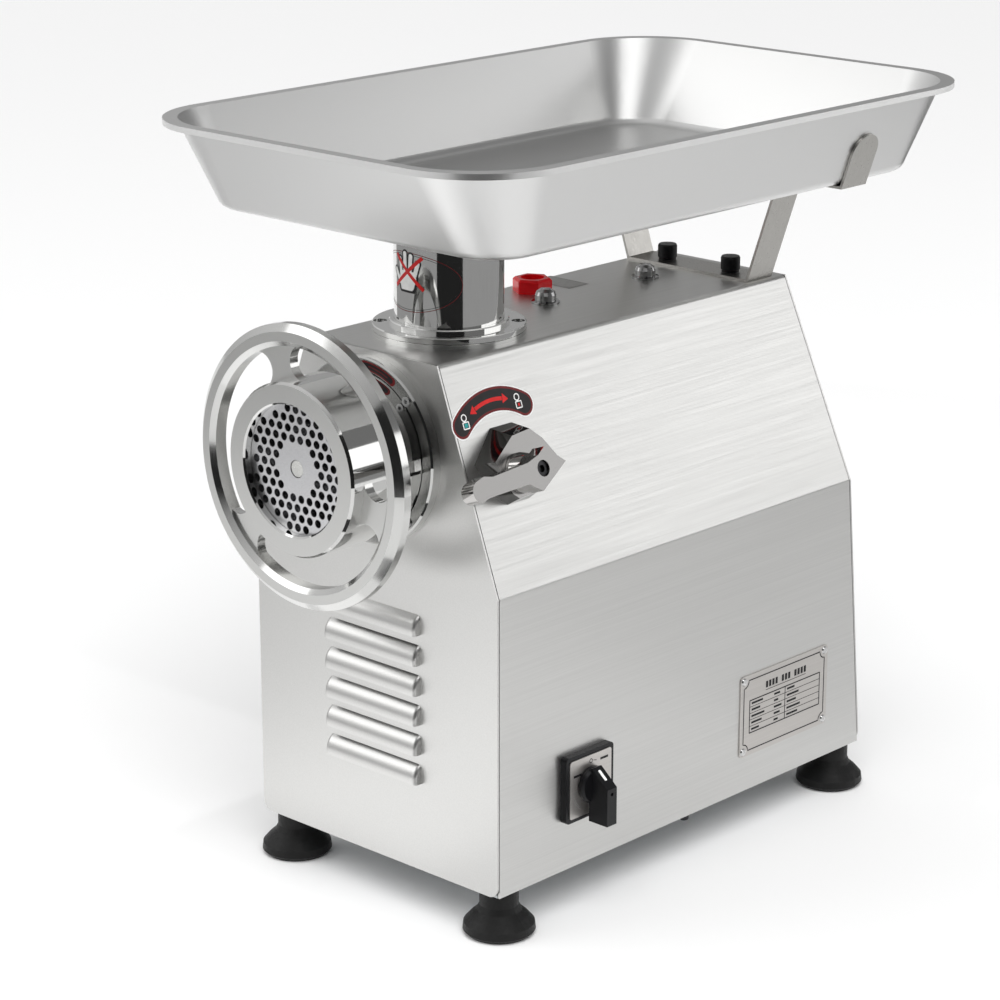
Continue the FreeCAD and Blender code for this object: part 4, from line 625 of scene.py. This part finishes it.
def make_flange_label():
    """Dark film on the front flange."""
    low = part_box("front_flange")[0]
    surface = flat_surface((0, low.y, 0.325), (1, 0, 0), (0, 0, 1))
    label = Label("flange_label", surface, "casing", "black_plastic")
    label.fill(banana(55.9, 62.1, 62, 88), INK_DARK_RED, 0)
    label.fill(banana(57.0, 61.0, 63, 87), INK_BLACK, 1)
    label.stroke(arc(59, 66, 84, 16), 0.7, INK_DARK_RED, 2)
    label.finish()


def make_top_label():
    """Plain grey film on the casing's top."""
    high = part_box("casing_cover")[1]
    surface = flat_surface((-0.042, 0.0395, high.z), (1, 0, 0), (0, 1, 0))
    label = Label("top_label", surface, "casing", "label_metal")
    label.fill(rounded_box(19, 10.75, 1.0), INK_GREY, 0)
    label.stroke(rounded_box(17.6, 9.4, 0.6), 0.35, INK_BLACK, 1, closed=True)
    label.finish()


def make_rating_print():
    """Border lines, a ruled table and plain marks where a maker would print words."""
    low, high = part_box("rating_plate")
    middle = (low + high) / 2
    surface = flat_surface((high.x, middle.y, middle.z), (0, 1, 0), (0, 0, 1))
    label = Label("rating_print", surface, "casing", "black_plastic", 0.05, 0.03)
    outline = []
    for su, sv, start in ((1, 1, 270), (-1, 1, 0), (-1, -1, 90), (1, -1, 180)):
        outline += arc(5.4, start, start - 90, 8, (su * 47, sv * 27))
    label.stroke(outline, 0.9, INK_BLACK, 0, closed=True)
    label.stroke(rounded_box(41, 12.5, 0.2, 0.8, -1.5), 0.9, INK_BLACK, 0, closed=True)
    label.bar(0.4, -14, 0.8, 25, INK_BLACK, 0)
    for row in range(5):
        v = -11.5 + row * 5
        if row:
            label.bar(-40.2, v - 2.7, 82, 0.45, INK_BLACK, 0)
        for column, u in enumerate((-38, 3)):
            label.bar(u, v - 0.8, 9 + (row * 3 + column * 4) % 8, 1.6, INK_BLACK, 0)
        label.bar(-12, v - 0.8, 5 + row % 3 * 2, 1.6, INK_BLACK, 0)
    for i in range(13):
        if i not in (4, 8):
            label.bar(-22 + i * 3.7, 16.2, 2.6, 5.0, INK_BLACK, 0)
    label.bar(-22, 14.3, 47, 0.5, INK_BLACK, 0)
    label.finish()


def make_switch_print():
    """Ring, arcs and bars for the two positions of the switch, without words."""
    low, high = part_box("switch_face_plate")
    middle = (low + high) / 2
    surface = flat_surface((high.x, middle.y, middle.z), (0, 1, 0), (0, 0, 1))
    label = Label("switch_print", surface, "casing", "black_plastic", 0.05, 0.03)
    label.stroke(ring(0, 16.6, 1.4, 20), 0.55, INK_BLACK, 0, closed=True)
    label.stroke(arc(16.6, 70, 82, 8), 0.5, INK_BLACK, 0)
    label.bar(9.5, 14.6, 8.0, 1.7, INK_BLACK, 0)
    label.bar(-17.5, 8.6, 8.0, 1.7, INK_BLACK, 0)
    label.stroke(arc(18.2, 200, 235, 14), 0.5, INK_GREY, 0)
    label.finish()


def make_knob_mark():
    """White line on the bevelled top of the switch bar, from its own CAD corners."""
    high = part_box("switch_knob")[1]
    joint = JOINTS["switch_turn"]["pos_m"]
    top = Vector((high.x - 0.0142, joint[1], high.z))
    end = Vector((high.x, joint[1], high.z - 0.0120))
    up = (top - end).normalized()
    label = Label("knob_mark", flat_surface((top + end) / 2, (0, 1, 0), up),
                  "knob", "white_plastic", 0.04, 0.03)
    label.fill(rounded_box(1.2, 4.4, 0.9, 0, 2.2), INK_WHITE, 0)
    label.finish()


SCREW_PROFILE = [(0.0, -4.6), (1.6, -4.6), (1.9, -4.2), (2.9, -4.0), (3.4, -3.2), (3.6, -1.0),
                 (3.6, 0)]
SCREW_SIDES = 20
SCREW_X, SCREW_Y = 0.1110, 0.006


def make_edge_screw(name, side):
    """Pan-head screw under one long edge of the casing."""
    foot = Vector((side * SCREW_X, SCREW_Y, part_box("base_plate")[0].z))
    points = []
    for radius, drop in SCREW_PROFILE:
        for i in range(SCREW_SIDES):
            turn = 2 * math.pi * i / SCREW_SIDES
            points.append(Vector((radius * math.cos(turn), radius * math.sin(turn), drop)) / 1000
                          + foot)
    faces = []
    for start in range(0, len(points) - SCREW_SIDES, SCREW_SIDES):
        for i in range(SCREW_SIDES):
            after = (i + 1) % SCREW_SIDES
            faces.append((start + i, start + after,
                          start + SCREW_SIDES + after, start + SCREW_SIDES + i))
    mesh = bpy.data.meshes.new(name)
    mesh.from_pydata(points, [], faces)
    mesh.materials.append(DARK_STEEL)
    screw = add_object(name, mesh)
    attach(screw, "casing")


make_world()
make_camera()
make_floor()
make_overhead(azimuth=50, elevation=55, strength=1.9, spread=50)
make_light("key", 70, 48, distance=2.6, width=1.6, height=1.6, power=16)
make_light("fill", -40, 30, distance=2.8, width=1.8, height=1.4, power=12)
make_light("side_softbox", 137, 12, distance=2.8, width=2.4, height=1.0, power=12)
make_ring_card("card_front", 18, 68, distance=1.30, high=1.3, level=0.02)
make_ring_card("card_side", 68, 172, distance=1.30, high=0.22, level=0.36)
make_ring_card("card_rear", 172, 235, distance=1.30, high=0.22, level=0.03)
make_ring_card("card_low", -90, 18, distance=1.32, high=0.22, level=0.36)
make_floor_card("card_white", (-0.95, -1.1), 0.95, 0.85, level=1.45, lift=0.001)
make_floor_card("card_left", (-0.72, -0.34), 0.52, 0.32, level=0.62, fade=(-0.62, -0.22, 1.35))
make_floor_card("card_near", (0.205, -0.34), 0.13, 0.06, level=0.05, turn=47, lift=0.003)
make_floor_card("card_right", (0.50, 0.86), 0.30, 0.62, level=0.85)
dress_nodes()
for node, width in (("lock_lever", 0.0007), ("lock_block", 0.0008), ("hand_wheel", 0.0006),
                    ("neck_collar", 0.0004), ("switch_knob", 0.0006), ("oil_plug", 0.0005)):
    soften(node, width)
make_lock_label()
make_neck_label()
make_flange_label()
make_top_label()
make_rating_print()
make_switch_print()
make_knob_mark()
make_edge_screw("edge_screw_right", 1)
make_edge_screw("edge_screw_left", -1)
bpy.context.scene.view_settings.view_transform = "Standard"
